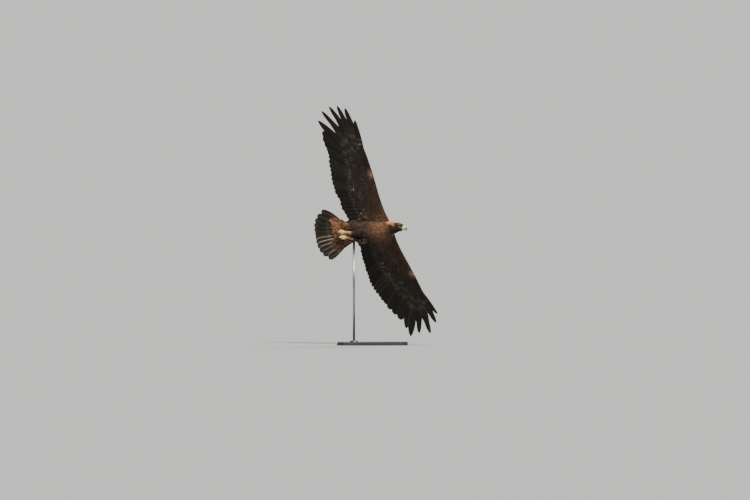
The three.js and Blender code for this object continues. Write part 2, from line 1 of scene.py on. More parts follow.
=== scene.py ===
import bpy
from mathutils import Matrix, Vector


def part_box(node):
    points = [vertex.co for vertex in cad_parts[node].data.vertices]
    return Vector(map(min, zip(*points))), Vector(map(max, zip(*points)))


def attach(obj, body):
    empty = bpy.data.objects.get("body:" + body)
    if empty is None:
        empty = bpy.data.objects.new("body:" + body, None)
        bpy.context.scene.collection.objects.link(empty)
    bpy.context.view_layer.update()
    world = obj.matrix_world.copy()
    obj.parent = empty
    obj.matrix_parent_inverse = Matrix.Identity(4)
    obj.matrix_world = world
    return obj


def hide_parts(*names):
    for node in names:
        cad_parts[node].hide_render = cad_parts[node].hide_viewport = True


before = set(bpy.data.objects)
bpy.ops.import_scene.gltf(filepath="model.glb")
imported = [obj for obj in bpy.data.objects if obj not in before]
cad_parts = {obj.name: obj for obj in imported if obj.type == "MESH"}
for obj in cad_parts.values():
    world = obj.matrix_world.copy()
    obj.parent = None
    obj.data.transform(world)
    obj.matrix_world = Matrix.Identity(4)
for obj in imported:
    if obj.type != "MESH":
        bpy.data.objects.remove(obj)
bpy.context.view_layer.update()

import math
from collections import namedtuple

import bmesh
import bpy
import numpy as np
from mathutils import Matrix, Vector
from mathutils.bvhtree import BVHTree
from mathutils.kdtree import KDTree

bl_info = {
    "name": "Soaring golden eagle on a display stand",
    "version": (1, 0, 0),
    "blender": (4, 5, 0),
    "location": "3D View > Sidebar > Eagle",
    "description": "Builds the skin, feathers, head, feet and stand of a life-size soaring golden eagle",
    "category": "Object",
}

# The bird is shaped in millimetres in a frame of its own, x forward, y to its left and z to its back.
# Its neck and tail are then turned, it is banked as one, and its points become metres on the stand.
MM = 0.001
TAIL_JOINT_X = -205
FACE_X = 282
DIHEDRAL = math.radians(6.6)
CAMBER = 20
FINGER_RISE = 10
NECK_FROM, NECK_LENGTH = 172, 73
NECK_ROLL, NECK_DIP = math.radians(30), math.radians(10)
TWIST_FROM, TWIST_TO, TWIST_ROLL = 110, 340, math.radians(-25)
HEADING, CLIMB, BANK = -29.6, 5.2, 56
BODY_HEIGHT = 915
AIR = Matrix.Rotation(math.radians(HEADING), 3, "Z")
AIR = AIR @ Matrix.Rotation(math.radians(-CLIMB), 3, "Y") @ Matrix.Rotation(math.radians(-BANK), 3, "X")

# The trunk from tail to face: place along x, half width, top and bottom
TRUNK = [
    (-205, 80, 24, -27), (-165, 83, 33, -42), (-115, 84, 43, -66), (-60, 84, 50, -88), (0, 84, 54, -98),
    (60, 83, 52, -93), (110, 76, 47, -78), (150, 66, 44, -61), (178, 57, 42, -51), (205, 50, 42, -44),
    (230, 43, 42, -36), (250, 38, 40, -30), (266, 32, 34, -26), (276, 25, 25, -22), (282, 18, 18, -18),
]
# How deep the coat lies over the trunk's skin, from tail to face
COAT_DEPTH = [(-205, 7), (60, 8), (178, 7), (205, 5), (235, 3.2), (262, 1.6), (282, 0.8)]
# The wing's flesh: place along u, middle and half of its depth along v, half thickness
ARM = [
    (50, 72, 98, 36), (150, 85, 72, 26), (262, 88, 68, 19), (380, 112, 50, 14),
    (480, 132, 34, 11), (570, 143, 24, 8), (655, 152, 14, 5.5), (700, 155, 6, 3),
]
# The feathered shoulder: x, y, z, half width and half thickness
SHOULDER = [
    (125, 62, 27, 16, 6), (60, 60, 30, 32, 16), (-40, 60, 27, 34, 17),
    (-130, 62, 20, 30, 11), (-190, 66, 12, 18, 5),
]
# The leg tucked back under the tail: points with a radius at each
LEG = [
    (-20, 40, -62, 30), (-70, 44, -84, 29), (-120, 31, -73, 17),
    (-167, 26.5, -61.5, 12), (-214, 22, -50, 9.5), (-232, 22, -49, 11),
]
# The root of the tail: distance behind its joint, half width, half thickness
TAIL_ROOT = [(0, 87, 24), (40, 92, 14), (85, 82, 8), (125, 36, 3.5)]
# How far the skin of wings, shoulders and tail lies under the solids, and the least half thickness it keeps
UNDER = 3
THINNEST = 1.6
SIDES = (("left", 1), ("right", -1))
# What several operators share, each made once
SHARED = {}


def once(name, make):
    """What make returns, kept from the first call on."""
    if name not in SHARED:
        SHARED[name] = make()
    return SHARED[name]


# Numbers
def smooth(x, low, high):
    """Rises from 0 at low to 1 at high, eased at both ends."""
    t = np.clip((x - low) / (high - low), 0.0, 1.0)
    return t * t * (3 - 2 * t)


def mix(a, b, t):
    return a + (b - a) * t


def through(table, x):
    """A table's columns at x, by a smooth curve through its rows."""
    rows = np.asarray(table, float)
    x = np.atleast_1d(np.asarray(x, float))
    last = len(rows) - 2
    i = np.clip(np.searchsorted(rows[:, 0], x) - 1, 0, last)
    a, b = rows[i], rows[i + 1]
    before, after = rows[np.maximum(i - 1, 0)], rows[np.minimum(i + 2, last + 1)]
    span = b[:, :1] - a[:, :1]
    t = (x[:, None] - a[:, :1]) / span
    slope_a = (b - before) / (b[:, :1] - before[:, :1]) * span
    slope_b = (after - a) / (after[:, :1] - a[:, :1]) * span
    rise = b - a
    curve = a + t * (slope_a + t * (3 * rise - 2 * slope_a - slope_b + t * (slope_a + slope_b - 2 * rise)))
    return curve[:, 1:]


def level(table, x):
    """The columns of a table at x, by straight lines between its rows."""
    rows = np.asarray(table, float)
    x = np.asarray(x, float)
    columns = [np.interp(x, rows[:, 0], rows[:, k]) for k in range(1, rows.shape[1])]
    return columns[0] if len(columns) == 1 else np.stack(columns, -1)


def angles(sides):
    """Even angles once round a ring."""
    return np.arange(sides) * 2 * math.pi / sides


def unit(vectors):
    return vectors / np.maximum(np.linalg.norm(vectors, axis=-1, keepdims=True), 1e-9)


def linear(colour):
    """A colour as it is picked, in sRGB from 0 to 1, as linear light."""
    c = np.asarray(colour, float)[..., :3]
    return np.where(c <= 0.04045, c / 12.92, ((c + 0.055) / 1.055) ** 2.4)


# Places
def pose(points):
    """Turns and dips the head about its own line and twists the tail."""
    x, y, z = np.asarray(points, float).T
    rigid = NECK_FROM + NECK_LENGTH
    done = np.clip((x - NECK_FROM) / NECK_LENGTH, 0, 1)
    near = np.minimum(x, rigid)
    dip = NECK_DIP * done**2
    roll = NECK_ROLL * smooth(x, NECK_FROM, rigid) + TWIST_ROLL * smooth(-x, TWIST_FROM, TWIST_TO)
    ahead = (x - near) * np.cos(dip) + z * np.sin(dip)
    up = z * np.cos(dip) - (x - near) * np.sin(dip) - NECK_DIP * NECK_LENGTH * done**3 / 3
    across = y * np.cos(roll) - up * np.sin(roll)
    above = y * np.sin(roll) + up * np.cos(roll)
    return np.stack([near + ahead, across, above], 1)


def in_air(points):
    """From the bird's frame in millimetres to its place on the stand in metres."""
    turned = np.asarray(points, float) @ np.array(AIR).T
    return (turned + np.array([0, 0, BODY_HEIGHT])) * MM


def posed_in_air(points):
    return in_air(pose(points))


def on_wing(u, v, h):
    """The wing's surface: u outward along the span, v forward and h upward, for the left wing."""
    camber = CAMBER * (1 - smooth(u, 500, 1000)) * (1 - ((v + 20) / 200) ** 2)
    z = camber + FINGER_RISE * smooth(u, 700, 1150) + h
    return np.stack([v, u * math.cos(DIHEDRAL) - z * math.sin(DIHEDRAL),
                     u * math.sin(DIHEDRAL) + z * math.cos(DIHEDRAL)], -1)


def span_of(points):
    """How far out along the wing's span points of the bird's frame lie."""
    return np.abs(points[:, 1]) * math.cos(DIHEDRAL) + points[:, 2] * math.sin(DIHEDRAL)


def on_tail(u, v, h):
    """The tail's surface: u outward from the midline, v forward from the tail's joint and h upward."""
    return np.stack([TAIL_JOINT_X + v, u, h - 4 + 0 * u], -1)


def mirrored(points, side):
    """Points of the left side, or where side is -1 the same points on the right."""
    return points * np.array([1, side, 1])


def on_left(points):
    """The same places on the bird's left side."""
    return points * np.array([1, 0, 1]) + np.abs(points) * np.array([0, 1, 0])


# Meshes
def face_outward(bm, faces):
    """Turns faces outward. Their normals are worked out afresh first, because the operator needs them."""
    bm.normal_update()
    bmesh.ops.recalc_face_normals(bm, faces=faces)


def loft(bm, rings):
    """Adds a closed tube through rings of points, rolled up from a grid and filled at both ends."""
    rings = np.asarray(rings, float)
    count, sides = rings.shape[:2]
    known = set(bm.verts)
    bmesh.ops.create_grid(bm, x_segments=sides, y_segments=count - 1, size=1.0)
    made = [v for v in bm.verts if v not in known]
    for i, v in enumerate(made):
        v.co = rings[i // (sides + 1)][(i % (sides + 1)) % sides]
    bmesh.ops.remove_doubles(bm, verts=made, dist=1e-5)
    edges = [e for v in made if v.is_valid for e in v.link_edges if e.is_boundary]
    bmesh.ops.holes_fill(bm, edges=list(set(edges)), sides=0)
    face_outward(bm, list({f for v in made if v.is_valid for f in v.link_faces}))


def lofted(*tubes):
    """A bmesh of closed tubes, each through its own rings."""
    bm = bmesh.new()
    for rings in tubes:
        loft(bm, rings)
    return bm


def limb_rings(path, radii, sides, side=(0, 1, 0), flatten=1.0):
    """Rings along a path, with a radius at each point. Flatten stretches them square to the given side."""
    path = np.asarray(path, float)
    along = unit(np.gradient(path, axis=0))
    up = unit(np.cross(along, np.asarray(side, float)))
    across = np.cross(up, along)
    turn = angles(sides)[None, :, None]
    radii = np.asarray(radii)[:, None, None]
    wide = radii * np.cos(turn) * across[:, None, :]
    high = radii * flatten * np.sin(turn) * up[:, None, :]
    return path[:, None, :] + wide + high


def finer(rows, steps):
    """More rows for a table, on a smooth curve through it. Its first column is the place in the list."""
    listed = [(i, *row) for i, row in enumerate(rows)]
    return through(listed, np.linspace(0, len(rows) - 1, steps))


def plain_mesh(bm, name):
    """The mesh of a bmesh, which ends here."""
    mesh = bpy.data.meshes.new(name)
    bm.to_mesh(mesh)
    bm.free()
    return mesh


def corners_of(bm):
    return np.array([v.co[:] for v in bm.verts])


def posed_mesh(bm, name):
    """A smooth mesh from a bmesh of the straight bird, put into the bird's pose and place."""
    for v, p in zip(bm.verts, posed_in_air(corners_of(bm))):
        v.co = p
    for face in bm.faces:
        face.smooth = True
    return plain_mesh(bm, name)


def add_piece(name, mesh, material, nodes=()):
    """Puts a mesh in the scene as a piece that rides on the frame."""
    obj = bpy.data.objects.new(name, mesh)
    bpy.context.scene.collection.objects.link(obj)
    mesh.materials.clear()
    mesh.materials.append(material)
    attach(obj, "root")
    if nodes:
        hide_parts(*nodes)
    return obj


def paint(mesh, name, colours):
    """A colour for each point of a mesh, as an attribute that its material reads."""
    layer = mesh.color_attributes.new(name, "FLOAT_COLOR", "POINT")
    rows = np.ones((len(mesh.vertices), 4))
    rows[:, : colours.shape[1]] = colours
    layer.data.foreach_set("color", rows.astype(np.float32).ravel())


def mark(mesh, values):
    """One value for each point of a mesh, as the first of its attribute lie."""
    paint(mesh, "lie", np.outer(values, (1, 0, 0)))


# Sizes and colours that a user may change
def colour_prop(name, description, red, green, blue):
    return bpy.props.FloatVectorProperty(
        name=name, description=description, subtype="COLOR_GAMMA", size=3, min=0, max=1,
        default=(red / 255, green / 255, blue / 255),
    )


class EagleColours(bpy.types.PropertyGroup):
    breast: colour_prop("Breast", "Warm brown of the breast feathers", 86, 60, 43)
    belly: colour_prop("Belly", "Blackish brown of the belly and thighs", 46, 37, 30)
    vent: colour_prop("Vent", "Rufous of the coverts under the tail", 108, 74, 50)
    back: colour_prop("Back", "Dark brown of the back and shoulders", 66, 50, 39)
    panel: colour_prop("Wing panel", "Tawny brown of the coverts across the upper wing", 112, 86, 60)
    gold: colour_prop("Nape", "Golden tawny of nape and neck", 188, 122, 68)
    crown: colour_prop("Crown", "Paler gold of the crown", 206, 168, 134)
    face: colour_prop("Face", "Dark brown of lores, chin and throat", 44, 36, 28)
    lining: colour_prop("Wing lining", "Chestnut of the small coverts under the wing", 54, 40, 30)
    lower_coverts: colour_prop("Under coverts", "Grey brown of the long coverts under the wing", 47, 42, 35)
    flight: colour_prop("Flight feathers", "Blackish brown of the flight feathers", 36, 32, 27)
    flight_base: colour_prop("Flight bases", "Grey of the bases of flight and tail feathers", 66, 61, 52)
    tail: colour_prop("Tail", "Brown of the tail feathers", 48, 42, 36)
    pale: colour_prop("Pale edges", "Whitish edges of worn tail feathers and coverts", 196, 186, 168)
    tarsus: colour_prop("Tarsus", "Pale buff of the feathered lower leg", 184, 148, 116)
    foot: colour_prop("Feet", "Pale yellow of the toes", 230, 200, 126)
    cere: colour_prop("Cere", "Yellow of cere and gape", 206, 178, 96)
    bill_base: colour_prop("Bill base", "Pale blue grey of the bill's base", 186, 195, 202)
    bill_tip: colour_prop("Bill tip", "Blackish horn of the bill's tip and the claws", 30, 30, 34)
    iris: colour_prop("Iris", "Amber brown of the eyes", 122, 76, 36)
    base: colour_prop("Base", "Satin black of the stand's base", 34, 34, 36)


class EagleSizes(bpy.types.PropertyGroup):
    skin_grain: bpy.props.FloatProperty(
        name="Skin grain", description="Size of the skin's faces, in millimetres", default=2.8, min=1.5, max=8
    )
    spacing: bpy.props.FloatProperty(
        name="Feather spacing", description="Distance between feather roots, as a share of the real one",
        default=1.0, min=0.8, max=3,
    )
    lift: bpy.props.FloatProperty(
        name="Vane lift", description="How far a flight feather passes over its neighbour, in millimetres",
        default=1.35, min=0.8, max=3,
    )
    seed: bpy.props.IntProperty(name="Seed", description="Start of the random draws", default=7, min=1)


class StageSettings(bpy.types.PropertyGroup):
    lens: bpy.props.FloatProperty(
        name="Lens", description="Focal length of the camera, in millimetres", default=300, min=20, max=600
    )
    distance: bpy.props.FloatProperty(
        name="Distance", description="From the camera to the stand's middle", default=49.62, min=1, max=100,
        unit="LENGTH",
    )
    floor_radius: bpy.props.FloatProperty(
        name="Floor radius", description="Radius of the pale floor", default=80, min=2, max=200, unit="LENGTH"
    )
    key_strength: bpy.props.FloatProperty(
        name="Key light", description="Strength of the main light", default=6.9, min=0, max=20
    )
    ambient: bpy.props.FloatProperty(
        name="Ambient", description="Brightness of the light from all round", default=0.2, min=0, max=5
    )


def colours():
    return bpy.context.scene.eagle_colours


def sizes():
    return bpy.context.scene.eagle_sizes


# Shader nodes
class Wire:
    """A value or colour on its way through a material, with arithmetic that adds the nodes for it."""

    def __init__(self, finish, socket):
        self.finish = finish
        self.socket = socket

    def __add__(self, other):
        return self.finish.math("ADD", self, other)

    __radd__ = __add__

    def __mul__(self, other):
        return self.finish.math("MULTIPLY", self, other)

    __rmul__ = __mul__

    def __sub__(self, other):
        return self.finish.math("SUBTRACT", self, other)

    def __rsub__(self, other):
        return self.finish.math("SUBTRACT", other, self)


class Finish:
    """A material or a world under construction."""

    def __init__(self, name, kind="Material"):
        made = bpy.data.worlds.new(name) if kind == "World" else bpy.data.materials.new(name)
        made.use_nodes = True
        self.owner = made
        self.tree = made.node_tree
        self.tree.nodes.clear()
        self.output = self.tree.nodes.new("ShaderNodeOutput" + kind)

    def node(self, kind, settings=None, inputs=(), output=0):
        """Adds a node of a kind, with settings and with values or wires for its inputs."""
        made = self.tree.nodes.new(kind)
        for key, value in (settings or {}).items():
            setattr(made, key, value)
        for key, value in inputs.items() if isinstance(inputs, dict) else enumerate(inputs):
            if isinstance(value, Wire):
                self.tree.links.new(value.socket, made.inputs[key])
            else:
                made.inputs[key].default_value = value
        return Wire(self, made.outputs[output])

    def math(self, operation, *values):
        return self.node("ShaderNodeMath", {"operation": operation}, values)

    def vector_math(self, operation, *values):
        return self.node("ShaderNodeVectorMath", {"operation": operation}, values)

    def parts(self, kind, value):
        """All outputs of a node that takes a value apart."""
        made = self.node(kind, {}, [value])
        return [Wire(self, out) for out in made.socket.node.outputs]

    def attribute(self, name):
        return self.node("ShaderNodeAttribute", {"attribute_name": name}, output="Color")

    def lie(self):
        """The three values of a piece's attribute lie. On a feather they are the share of its length, the
        share of its half width, and a draw of its own."""
        return self.parts("ShaderNodeSeparateColor", self.attribute("lie"))

    def vane_place(self):
        """The place on a feather, in metres across and along it."""
        return self.node("ShaderNodeUVMap", {"uv_map": "vane"})

    def greater(self, first, second):
        """The larger of two values."""
        return self.math("MAXIMUM", first, second)

    def place(self):
        return self.node("ShaderNodeTexCoord", output="Object")

    def noise(self, vector, scale, detail=3.0, roughness=0.55):
        inputs = {"Vector": vector, "Scale": scale, "Detail": detail, "Roughness": roughness}
        return self.node("ShaderNodeTexNoise", {}, inputs, "Fac")

    def cells(self, scale):
        """How far the edge of a small scale or crease is, over the whole piece."""
        inputs = {"Vector": self.place(), "Scale": scale}
        return self.node("ShaderNodeTexVoronoi", {"feature": "DISTANCE_TO_EDGE"}, inputs)

    def range(self, value, low, high, to_low=0.0, to_high=1.0):
        """A value from low to high, eased and kept between two others."""
        inputs = {"Value": value, "From Min": low, "From Max": high, "To Min": to_low, "To Max": to_high}
        return self.node("ShaderNodeMapRange", {"interpolation_type": "SMOOTHSTEP"}, inputs)

    def blend(self, factor, first, second):
        """Mixes two colours."""
        a, b = [c if isinstance(c, Wire) else (*c, 1.0) for c in (first, second)]
        return self.node("ShaderNodeMix", {"data_type": "RGBA"}, {0: factor, 6: a, 7: b}, 2)

    def shade(self, colour, factor):
        """A colour made lighter or darker by a value."""
        return self.node("ShaderNodeVectorMath", {"operation": "SCALE"}, {0: colour, "Scale": factor})

    def bump(self, height, strength, distance):
        inputs = {"Height": height, "Strength": strength, "Distance": distance}
        return self.node("ShaderNodeBump", {}, inputs)

    def ends_in(self, shader):
        """Leads a shader to the output and returns the material or world."""
        self.tree.links.new(shader.socket, self.output.inputs["Surface"])
        return self.owner

    def done(self, **inputs):
        """Ends the material in one surface shader and returns it."""
        named = {key.replace("_", " "): value for key, value in inputs.items()}
        return self.ends_in(self.node("ShaderNodeBsdfPrincipled", {}, named))


def rgba(colour):
    return tuple(float(c) for c in linear(colour))


def skin_finish():
    """The skin, a darker shade of the feathers that cover it."""
    f = Finish("Skin under the feathers")
    grain = f.noise(f.place(), 260.0, 4.0)
    colour = f.shade(f.attribute("tone"), f.range(grain, 0.3, 0.7, 0.55, 0.95))
    return f.done(Base_Color=colour, Roughness=0.9, Normal=f.bump(grain, 0.5, 0.0015))


def barbs(f, pitch):
    """Fine slanted lines from the shaft to both edges, as a height. Also their uneven tone, and how far off
    the shaft is."""
    across, along, _ = f.parts("ShaderNodeSeparateXYZ", f.vane_place())
    from_shaft = f.math("ABSOLUTE", across)
    run = along - from_shaft * 1.1
    wave = f.math("SINE", run * (2 * math.pi / pitch))
    place = f.node("ShaderNodeCombineXYZ", {}, [run, across * 0.12])
    streaks = f.range(f.noise(place, 1.1 / pitch, 4.0, 0.7), 0.3, 0.7, 0.78, 1.22)
    return wave * 0.5 + 0.5, streaks, from_shaft


def plumage_finish():
    """Small body feathers: darker at the root, partly grey down and partly painted shade, with a fine shaft,
    barbs and paler edges.
    """
    f = Finish("Body plumage")
    along, across, draw = f.lie()
    lines, streaks, from_shaft = barbs(f, 0.0013)
    mottle = f.noise(f.place(), 90.0, 3.0)
    # Darker toward the root: partly grey down, partly painted shade under the feathers that lie over it
    shade = f.range(along, 0.05, 0.6, 0.45, 1.0) * f.range(mottle, 0.3, 0.7, 0.82, 1.16)
    shade = shade * (lines * 0.06 + 0.97) * streaks
    shade = shade * f.range(from_shaft, 0.0002, 0.0008, 0.86, 1.0)
    rim = f.range(across, 0.6, 1.0) * f.range(along, 0.5, 0.9) * 0.6
    edge = f.greater(rim, f.range(along, 0.74, 1.0))
    shade = shade * (0.9 + edge * (0.15 + draw * draw * 1.1))
    return f.done(
        Base_Color=f.shade(f.attribute("tone"), shade), Roughness=f.range(mottle, 0.3, 0.7, 0.62, 0.8),
        Specular_IOR_Level=0.12, Sheen_Weight=0.03, Sheen_Roughness=0.5,
        Normal=f.bump(lines, 0.2, 0.0004),
    )


def covert_finish(name, tip, frequent):
    """Long coverts: brown with a dark shaft, and a pale worn tip on some, which stand in clusters."""
    f = Finish(name)
    along, across, draw = f.lie()
    lines, streaks, from_shaft = barbs(f, 0.0016)
    mottle = f.noise(f.place(), 70.0, 4.0)
    shade = f.range(mottle, 0.3, 0.7, 0.78, 1.2) * (lines * 0.06 + 0.97) * streaks
    shade = shade * f.range(from_shaft, 0.0004, 0.0012, 0.7, 1.0) * f.range(across, 0.85, 1.0, 1.0, 1.3)
    spot = f.range(along + mottle * 0.16 + streaks * 0.05, 1.03, 1.1)
    spot = spot * f.range(draw, 1.0 - frequent, 1.0 - frequent * 0.5)
    spot = spot * f.range(f.noise(f.place(), 11.0, 2.0), 0.42, 0.58)
    colour = f.blend(spot * 0.62, f.shade(f.attribute("tone"), shade), rgba(tip))
    return f.done(
        Base_Color=colour, Roughness=f.range(mottle, 0.3, 0.7, 0.58, 0.74), Specular_IOR_Level=0.12,
        Normal=f.bump(lines, 0.2, 0.0004),
    )


def flight_finish(name, plain, base, bars, band, edge):
    """Flight or tail feathers: marbled grey bases with darker bars, a blackish end from the share band of
    their length, and pale edges as strong as edge says."""
    f = Finish(name)
    along, across, draw = f.lie()
    lines, streaks, from_shaft = barbs(f, 0.0019)
    stretched = f.vector_math("MULTIPLY", f.vane_place(), (2.6, 1.0, 1.0))
    shifted = f.vector_math("ADD", stretched, f.attribute("lie"))
    marble = f.noise(shifted, 55.0, 5.0, 0.65)
    warp = f.noise(shifted, 16.0, 2.0)
    wave = f.math("SINE", along * (bars * 2 * math.pi) + warp * 5.0 + draw * 3.0)
    grey = f.range(marble + wave * 0.17, 0.4, 0.68)
    reach = f.range(along + warp * 0.16, band - 0.12, band + 0.06, 1.0, 0.0)
    colour = f.blend(grey * reach * 0.8, rgba(plain), rgba(base))
    streak = f.range(marble, 0.2, 0.8, 0.82, 1.2) * (lines * 0.06 + 0.97) * streaks * (0.82 + draw * 0.36)
    streak = streak * (reach * 0.4 + 0.66)
    rim = f.range(across, 0.78, 1.0) * f.range(draw, 0.3, 0.8) * f.range(along, 0.3, 0.5)
    rim = rim * f.range(marble, 0.35, 0.6, 0.3, 1.0) * edge
    colour = f.blend(rim, f.shade(colour, streak), rgba(colours().pale))
    shaft = f.range(from_shaft, 0.0009, 0.0017, 1.0, 0.0)
    colour = f.blend(shaft * 0.7, colour, f.attribute("tone"))
    return f.done(
        Base_Color=colour, Roughness=f.range(marble, 0.2, 0.8, 0.5, 0.66), Specular_IOR_Level=0.14,
        Normal=f.bump(lines, 0.2, 0.0004),
    )


# The skin
def oval_ring(x, row, sides, depth):
    half_width, top, bottom = row
    turn = angles(sides)
    middle, half = (top + bottom) / 2, (top - bottom) / 2
    height = middle + (half - depth) * np.sin(turn)
    return np.stack([0 * turn + x, (half_width - depth) * np.cos(turn), height], 1)


def trunk_rings():
    xs = np.linspace(TAIL_JOINT_X - 10, FACE_X, 60)
    rows = through(TRUNK, np.maximum(xs, TAIL_JOINT_X))
    return [oval_ring(x, row, 48, depth) for x, row, depth in zip(xs, rows, level(COAT_DEPTH, xs))]


def arm_rings(side):
    rings = []
    turn = angles(24)
    for u in np.linspace(2, ARM[-1][0], 30):
        middle, half, thick = through(ARM, max(u, ARM[0][0]))[0]
        half, thick = half - UNDER, max(thick - UNDER, THINNEST)
        high = thick * np.sin(turn) * (1 + 0.3 * np.cos(turn))
        rings.append(mirrored(on_wing(u + 0 * turn, middle + half * np.cos(turn), high), side))
    return rings


def shoulder_rings(side):
    turn = angles(20)
    rings = []
    for x, y, z, half_width, thick in finer(SHOULDER, 16):
        across = y + (half_width - UNDER) * np.cos(turn)
        rings.append(mirrored(np.stack([0 * turn + x, across, z + (thick - UNDER) * np.sin(turn)], 1), side))
    return rings


def leg_rings(side):
    rows = finer(LEG, 26)
    depth = np.linspace(6, 2, 26)
    return limb_rings(mirrored(rows[:, :3], side), rows[:, 3] - depth, 20)


def tail_root_rings():
    turn = angles(32)
    return [
        on_tail((w - UNDER) * np.cos(turn), 12 - back + 0 * turn, max(t - UNDER, THINNEST) * np.sin(turn))
        for back, w, t in finer(TAIL_ROOT, 14)
    ]


# The ridge over the eye: x, y, z and radius
BROW = [
    (238, 26, 20.5, 3), (248, 31.5, 24, 5), (258, 33.5, 25.5, 5.4), (268, 28.5, 23, 4.8),
    (279, 17.5, 16, 2.8),
]


def brow_rings(side):
    brow = finer(BROW, 12)
    return limb_rings(mirrored(brow[:, :3], side), brow[:, 3] - 0.8, 12, (0, 0, 1))


def fused_skin():
    """The whole skin before the neck and tail are turned, fused from its limbs into one surface."""
    tubes = [trunk_rings(), tail_root_rings()]
    for side in (1, -1):
        tubes += [arm_rings(side), shoulder_rings(side), leg_rings(side), brow_rings(side)]
    mesh = plain_mesh(lofted(*tubes), "fused skin")
    obj = bpy.data.objects.new("fused skin", mesh)
    bpy.context.scene.collection.objects.link(obj)
    remesh = obj.modifiers.new("fuse", "REMESH")
    remesh.mode = "VOXEL"
    remesh.voxel_size = sizes().skin_grain
    fair = obj.modifiers.new("fair", "SMOOTH")
    fair.factor, fair.iterations = 0.5, 4
    graph = bpy.context.evaluated_depsgraph_get()
    fused = bpy.data.meshes.new_from_object(obj.evaluated_get(graph))
    bpy.data.objects.remove(obj)
    bpy.data.meshes.remove(mesh)
    return fused


def straight_skin():
    return once("skin", fused_skin)


def points_of(mesh):
    flat = np.zeros(len(mesh.vertices) * 3)
    mesh.vertices.foreach_get("co", flat)
    return flat.reshape(-1, 3)


def far_apart(spots, gaps):
    """Keeps those spots that lie no nearer to one kept before than that one's gap."""
    tree = KDTree(len(spots))
    for i, spot in enumerate(spots):
        tree.insert(spot, i)
    tree.balance()
    alive = np.ones(len(spots), bool)
    kept = []
    for i, spot in enumerate(spots):
        if alive[i]:
            kept.append(i)
            for _, j, _ in tree.find_range(spot, gaps[i]):
                alive[j] = False
    return spots[kept]


class Surface:
    """A guide that feathers lie on: its triangles, and a tree that finds the nearest place on it."""

    def __init__(self, mesh):
        mesh.calc_loop_triangles()
        corners = np.zeros(len(mesh.loop_triangles) * 3, int)
        mesh.loop_triangles.foreach_get("vertices", corners)
        self.points = points_of(mesh)
        self.corners = corners.reshape(-1, 3)
        a, b, c = (self.points[self.corners[:, k]] for k in range(3))
        cross = np.cross(b - a, c - a)
        self.area = np.linalg.norm(cross, axis=1) / 2
        self.tree = BVHTree.FromPolygons(self.points.tolist(), self.corners.tolist())
        normals = np.zeros_like(self.points)
        for k in range(3):
            np.add.at(normals, self.corners[:, k], cross)
        self.normals = unit(normals)

    def scatter(self, spacing, density, seed):
        """Roots spread evenly over the surface. Spacing gives the distance between them at places with
        normals, or 0 for none."""
        random = np.random.default_rng(seed)
        middles = self.points[self.corners].mean(1)
        gaps = spacing(middles, self.normals[self.corners[:, 0]]) * sizes().spacing
        weight = np.where(gaps > 0, self.area / np.maximum(gaps, 0.5) ** 2, 0)
        count = int(weight.sum() * density)
        picked = random.choice(len(weight), count, p=weight / weight.sum())
        a, b = random.random((2, count, 1))
        over = a + b > 1
        a[over], b[over] = 1 - a[over], 1 - b[over]
        first, second, third = (self.points[self.corners[picked, k]] for k in range(3))
        return far_apart(first + a * (second - first) + b * (third - first), gaps[picked])

    def nearest(self, points):
        """The nearest place on the surface to each point, and the smooth normal there."""
        spots = np.zeros_like(points)
        normals = np.zeros_like(points)
        for i, p in enumerate(points):
            spot, _, index, _ = self.tree.find_nearest(p)
            spots[i] = spot
            a, b, c = self.corners[index]
            normals[i] = self.normals[a] + self.normals[b] + self.normals[c]
        return spots, unit(normals)

    def lines(self, roots, lengths, heading, shares):
        """Follows the surface from each root along a heading, or goes straight on where the surface bends
        away sharply. Returns the places and normals at shares of the way."""
        spots, normals = self.nearest(roots)
        places, ups = [spots], [normals]
        for step in np.diff(shares):
            way = heading(spots)
            way = unit(way - normals * (way * normals).sum(1, keepdims=True))
            ahead = spots + way * (lengths * step)[:, None]
            found, found_normals = self.nearest(ahead)
            off = np.linalg.norm(found - ahead, axis=1) > 0.5 * lengths * step
            lost = ((found_normals * normals).sum(1) < 0.75) | off
            spots = np.where(lost[:, None], ahead, found)
            normals = np.where(lost[:, None], normals, found_normals)
            places.append(spots)
            ups.append(normals)
        return np.stack(places, 1), np.stack(ups, 1)


# Small feathers
# Shares of their length, and the share of the full width there for round and for pointed ones
SMALL_SHARES = np.array([0.0, 0.2, 0.42, 0.64, 0.82, 0.94, 1.0])
SMALL_WIDTHS = np.array([0.3, 0.72, 0.95, 1.0, 0.95, 0.73, 0.42])
POINTED_WIDTHS = np.array([0.4, 0.88, 0.98, 0.78, 0.5, 0.26, 0.1])
# How much the end frays there, and places across from edge to edge
FRAYED = np.array([0.0, 0.0, 0.0, 0.1, 0.4, 0.75, 1.0])
ACROSS = np.linspace(-1, 1, 7)
# How far a small feather's edges droop, and its patch on the bake's map
ARCH = 0.1
PATCH = 0.003


def small_template():
    """Faces of one small feather: an arched upper side, a flat lower side and both ends."""
    wide, rows = len(ACROSS), len(SMALL_SHARES)
    faces, flat = [], []
    for k in range(rows - 1):
        a = k * wide
        for j in range(wide - 1):
            faces.append((a + j, a + j + 1, a + wide + j + 1, a + wide + j))
            flat.append(False)
        faces.append((a, a + wide, a + 2 * wide - 1, a + wide - 1))
        flat.append(True)
    faces.append(tuple(range(wide - 1, -1, -1)))
    faces.append(tuple(range((rows - 1) * wide, rows * wide)))
    return faces, flat + [True, True]


